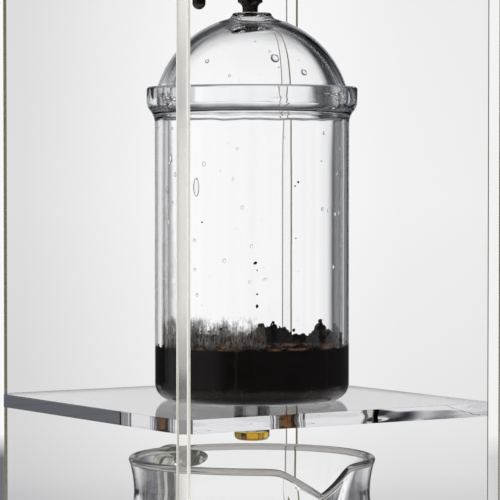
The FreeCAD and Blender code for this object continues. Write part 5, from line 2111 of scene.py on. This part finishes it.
def main() -> None:
    """Make the finishes, build every sub-assembly and set the stage."""
    logging.basicConfig(level=logging.INFO, format="%(name)s: %(message)s")
    # Borosilicate glass, blown: clear, with long faint waves, and dark only at its limbs.
    glass = ClearFinish(
        "borosilicate_glass_blown", tint="ffffff", ior=GLASS_IOR, ripple_mm=22.0, ripple_depth_mm=0.035,
        soak_tint="c2c8cc", soak_per_metre=6.0, shadow="f4f5f6").material()
    # Its rim, ground flat: grey and half clear.
    ground = ClearFinish(
        "borosilicate_glass_ground", tint="b9bcc4", ior=GLASS_IOR, ripple_mm=2.0, ripple_depth_mm=0.05,
        soak_tint="c2c8cc", soak_per_metre=6.0, shadow="d0d4d8", clarity=0.55).material()
    # The same glass, fire-polished to a bead: rounder, wavier and a little grey.
    beaded = ClearFinish(
        "borosilicate_glass_beaded", tint="b8b5b1", ior=GLASS_IOR, ripple_mm=6.0, ripple_depth_mm=0.05,
        soak_tint="c2c8cc", soak_per_metre=6.0, shadow="dcdedf", clarity=0.93).material()
    # The same glass, drawn to a strap: uneven, with an olive tint from its thickness.
    drawn = ClearFinish(
        "borosilicate_glass_drawn", tint="c4c5ba", ior=GLASS_IOR, ripple_mm=3.5, ripple_depth_mm=0.08,
        soak_tint="b8c0a8", soak_per_metre=6.0, shadow="eceee8", clarity=0.9).material()
    # Acrylic, cast in sheets: flat and very clear, cool along the sheet.
    acrylic = ClearFinish(
        "acrylic_sheet_cast", tint="fefefe", ior=ACRYLIC_IOR, ripple_mm=60.0, ripple_depth_mm=0.01,
        soak_tint="d4d4da", soak_per_metre=3.0, shadow="f2f3f5").material()
    # The sheet's flame-polished edge: glossy, but its long low waves draw out what is behind it.
    flamed = ClearFinish(
        "acrylic_sheet_flame_polished", tint="fefefe", ior=ACRYLIC_IOR, ripple_mm=34.0, ripple_depth_mm=0.75,
        soak_tint="d4d4da", soak_per_metre=3.0, shadow="f2f3f5", ripple_squash=5.0).material()
    # Acrylic bar, flame-polished: clear, and straw-coloured along its length.
    bar = ClearFinish(
        "acrylic_bar_flame_polished", tint="fefefe", ior=ACRYLIC_IOR, ripple_mm=40.0, ripple_depth_mm=0.02,
        soak_tint="d8c890", soak_per_metre=9.0, shadow="f2f2f2").material()
    # Acrylic bar, scuffed: clear below the shelf and milky above it.
    scuffed = SawnAcrylic(
        "acrylic_bar_scuffed", tint="fbf8f5", ior=ACRYLIC_IOR, ripple_mm=60.0, ripple_depth_mm=0.01,
        soak_tint="d8d6cf", soak_per_metre=6.0, shadow="e6e6e6", clarity=0.72).material()
    # Its sawn sides: a white frost that hides what is behind.
    frosted = SawnAcrylic(
        "acrylic_bar_sawn_edge", tint="fffcf2", ior=ACRYLIC_IOR, ripple_mm=60.0, ripple_depth_mm=0.01,
        soak_tint="f4f0e0", soak_per_metre=4.0, shadow="f0f0f0", clarity=0.25, clear_below=-2.0,
        marked_above=-1.0).material()
    # Sawn sides of the other bars: an olive grey, half frosted. The olive grey is painted shade, a darker
    # copy of the white frost for sides that fall darker.
    sawn = SawnAcrylic(
        "acrylic_bar_sawn_edge_painted_shade", tint="aaa286", ior=ACRYLIC_IOR, ripple_mm=60.0, ripple_depth_mm=0.01,
        soak_tint="f4f0e0", soak_per_metre=4.0, shadow="e0e0e0", clarity=0.55, clear_below=-2.0,
        marked_above=-1.0).material()
    # Water, condensed: clear beads that show by the rims of light and dark in them.
    water = ClearFinish(
        "water_condensed", tint="ffffff", ior=WATER_IOR, ripple_mm=4.0, ripple_depth_mm=0.002,
        soak_tint="ffffff", soak_per_metre=0.0, shadow="fafafa").material()
    # Coffee, filtered: yellow where it is thin, amber and red-brown where it is deep.
    coffee = ClearFinish(
        "coffee_filtered", tint="ffffff", ior=COFFEE_IOR, ripple_mm=4.0, ripple_depth_mm=0.002,
        soak_tint="f1e000", soak_per_metre=330.0, shadow="c08030").material()
    # Coffee straight from the bed: darker still.
    strong = ClearFinish(
        "coffee_strong", tint="ffffff", ior=COFFEE_IOR, ripple_mm=4.0, ripple_depth_mm=0.002,
        soak_tint="d0a820", soak_per_metre=400.0, shadow="704010").material()
    # Coffee, ground and soaked: black grains with a dull gloss and a dry brown crust.
    grounds = WetGrounds(
        "coffee_ground_soaked", wet="0f0a09", crust="6e543e", crust_foot=184.2, crust_top=186.4,
        grain_mm=0.8).material()
    # Coffee, dried to a film: black at its foot, a torn grey-brown veil above.
    film = WallFilm(
        "coffee_film_dried", dark="15100e", pale="7a7069", foot=186.4, top=201.5, run_mm=1.3, run_stretch=3.2,
        cover=1.35, cloud_share=1.0, start=-224.0, end=-110.0, blend=16.0).material()
    # Water, run down in streaks: a thin pale veil.
    wet = WallFilm(
        "water_film_streaked", dark="a09d9a", pale="dddbd8", foot=190.0, top=270.0, run_mm=1.3,
        run_stretch=9.0, cover=0.55, cloud_share=0.5, start=136.0, end=192.0, blend=26.0).material()
    # Silicone, moulded: milky grey and soft, without gloss.
    silicone = Silicone("silicone_moulded", tint="c9c9c5").material()
    # Stainless steel, turned: bright grey with fine rings.
    steel = TurnedMetal(
        "stainless_steel_turned", tint="b4b4b4", worn_tint="8c8a86", metallic=1.0, roughness=0.3,
        ring_mm=0.3).material()
    # Black nickel plate, satin: dark and warm, with one soft bright streak.
    nickel = TurnedMetal(
        "black_nickel_plate_satin", tint="3a3632", worn_tint="5c5248", metallic=0.95, roughness=0.24,
        ring_mm=0.4).material()
    # Ceramic, sintered: matt cream grit.
    ceramic = SinteredCeramic("ceramic_sintered", tint="d9d0bd", grit_mm=0.7).material()

    TowerFrame(acrylic, flamed, bar, scuffed, frosted, sawn, steel, silicone).build()
    BrewChamber(glass, ground, grounds, film, wet, coffee, strong, water, ceramic, silicone).build()
    DomeLid(glass, water).build()
    Carafe(glass, beaded, drawn).build()
    WaterVessel(glass, nickel, steel).build()
    DripValve(nickel, steel, silicone).build()
    Studio().build()

    bpy.context.view_layer.update()


if __name__ == "__main__":
    main()
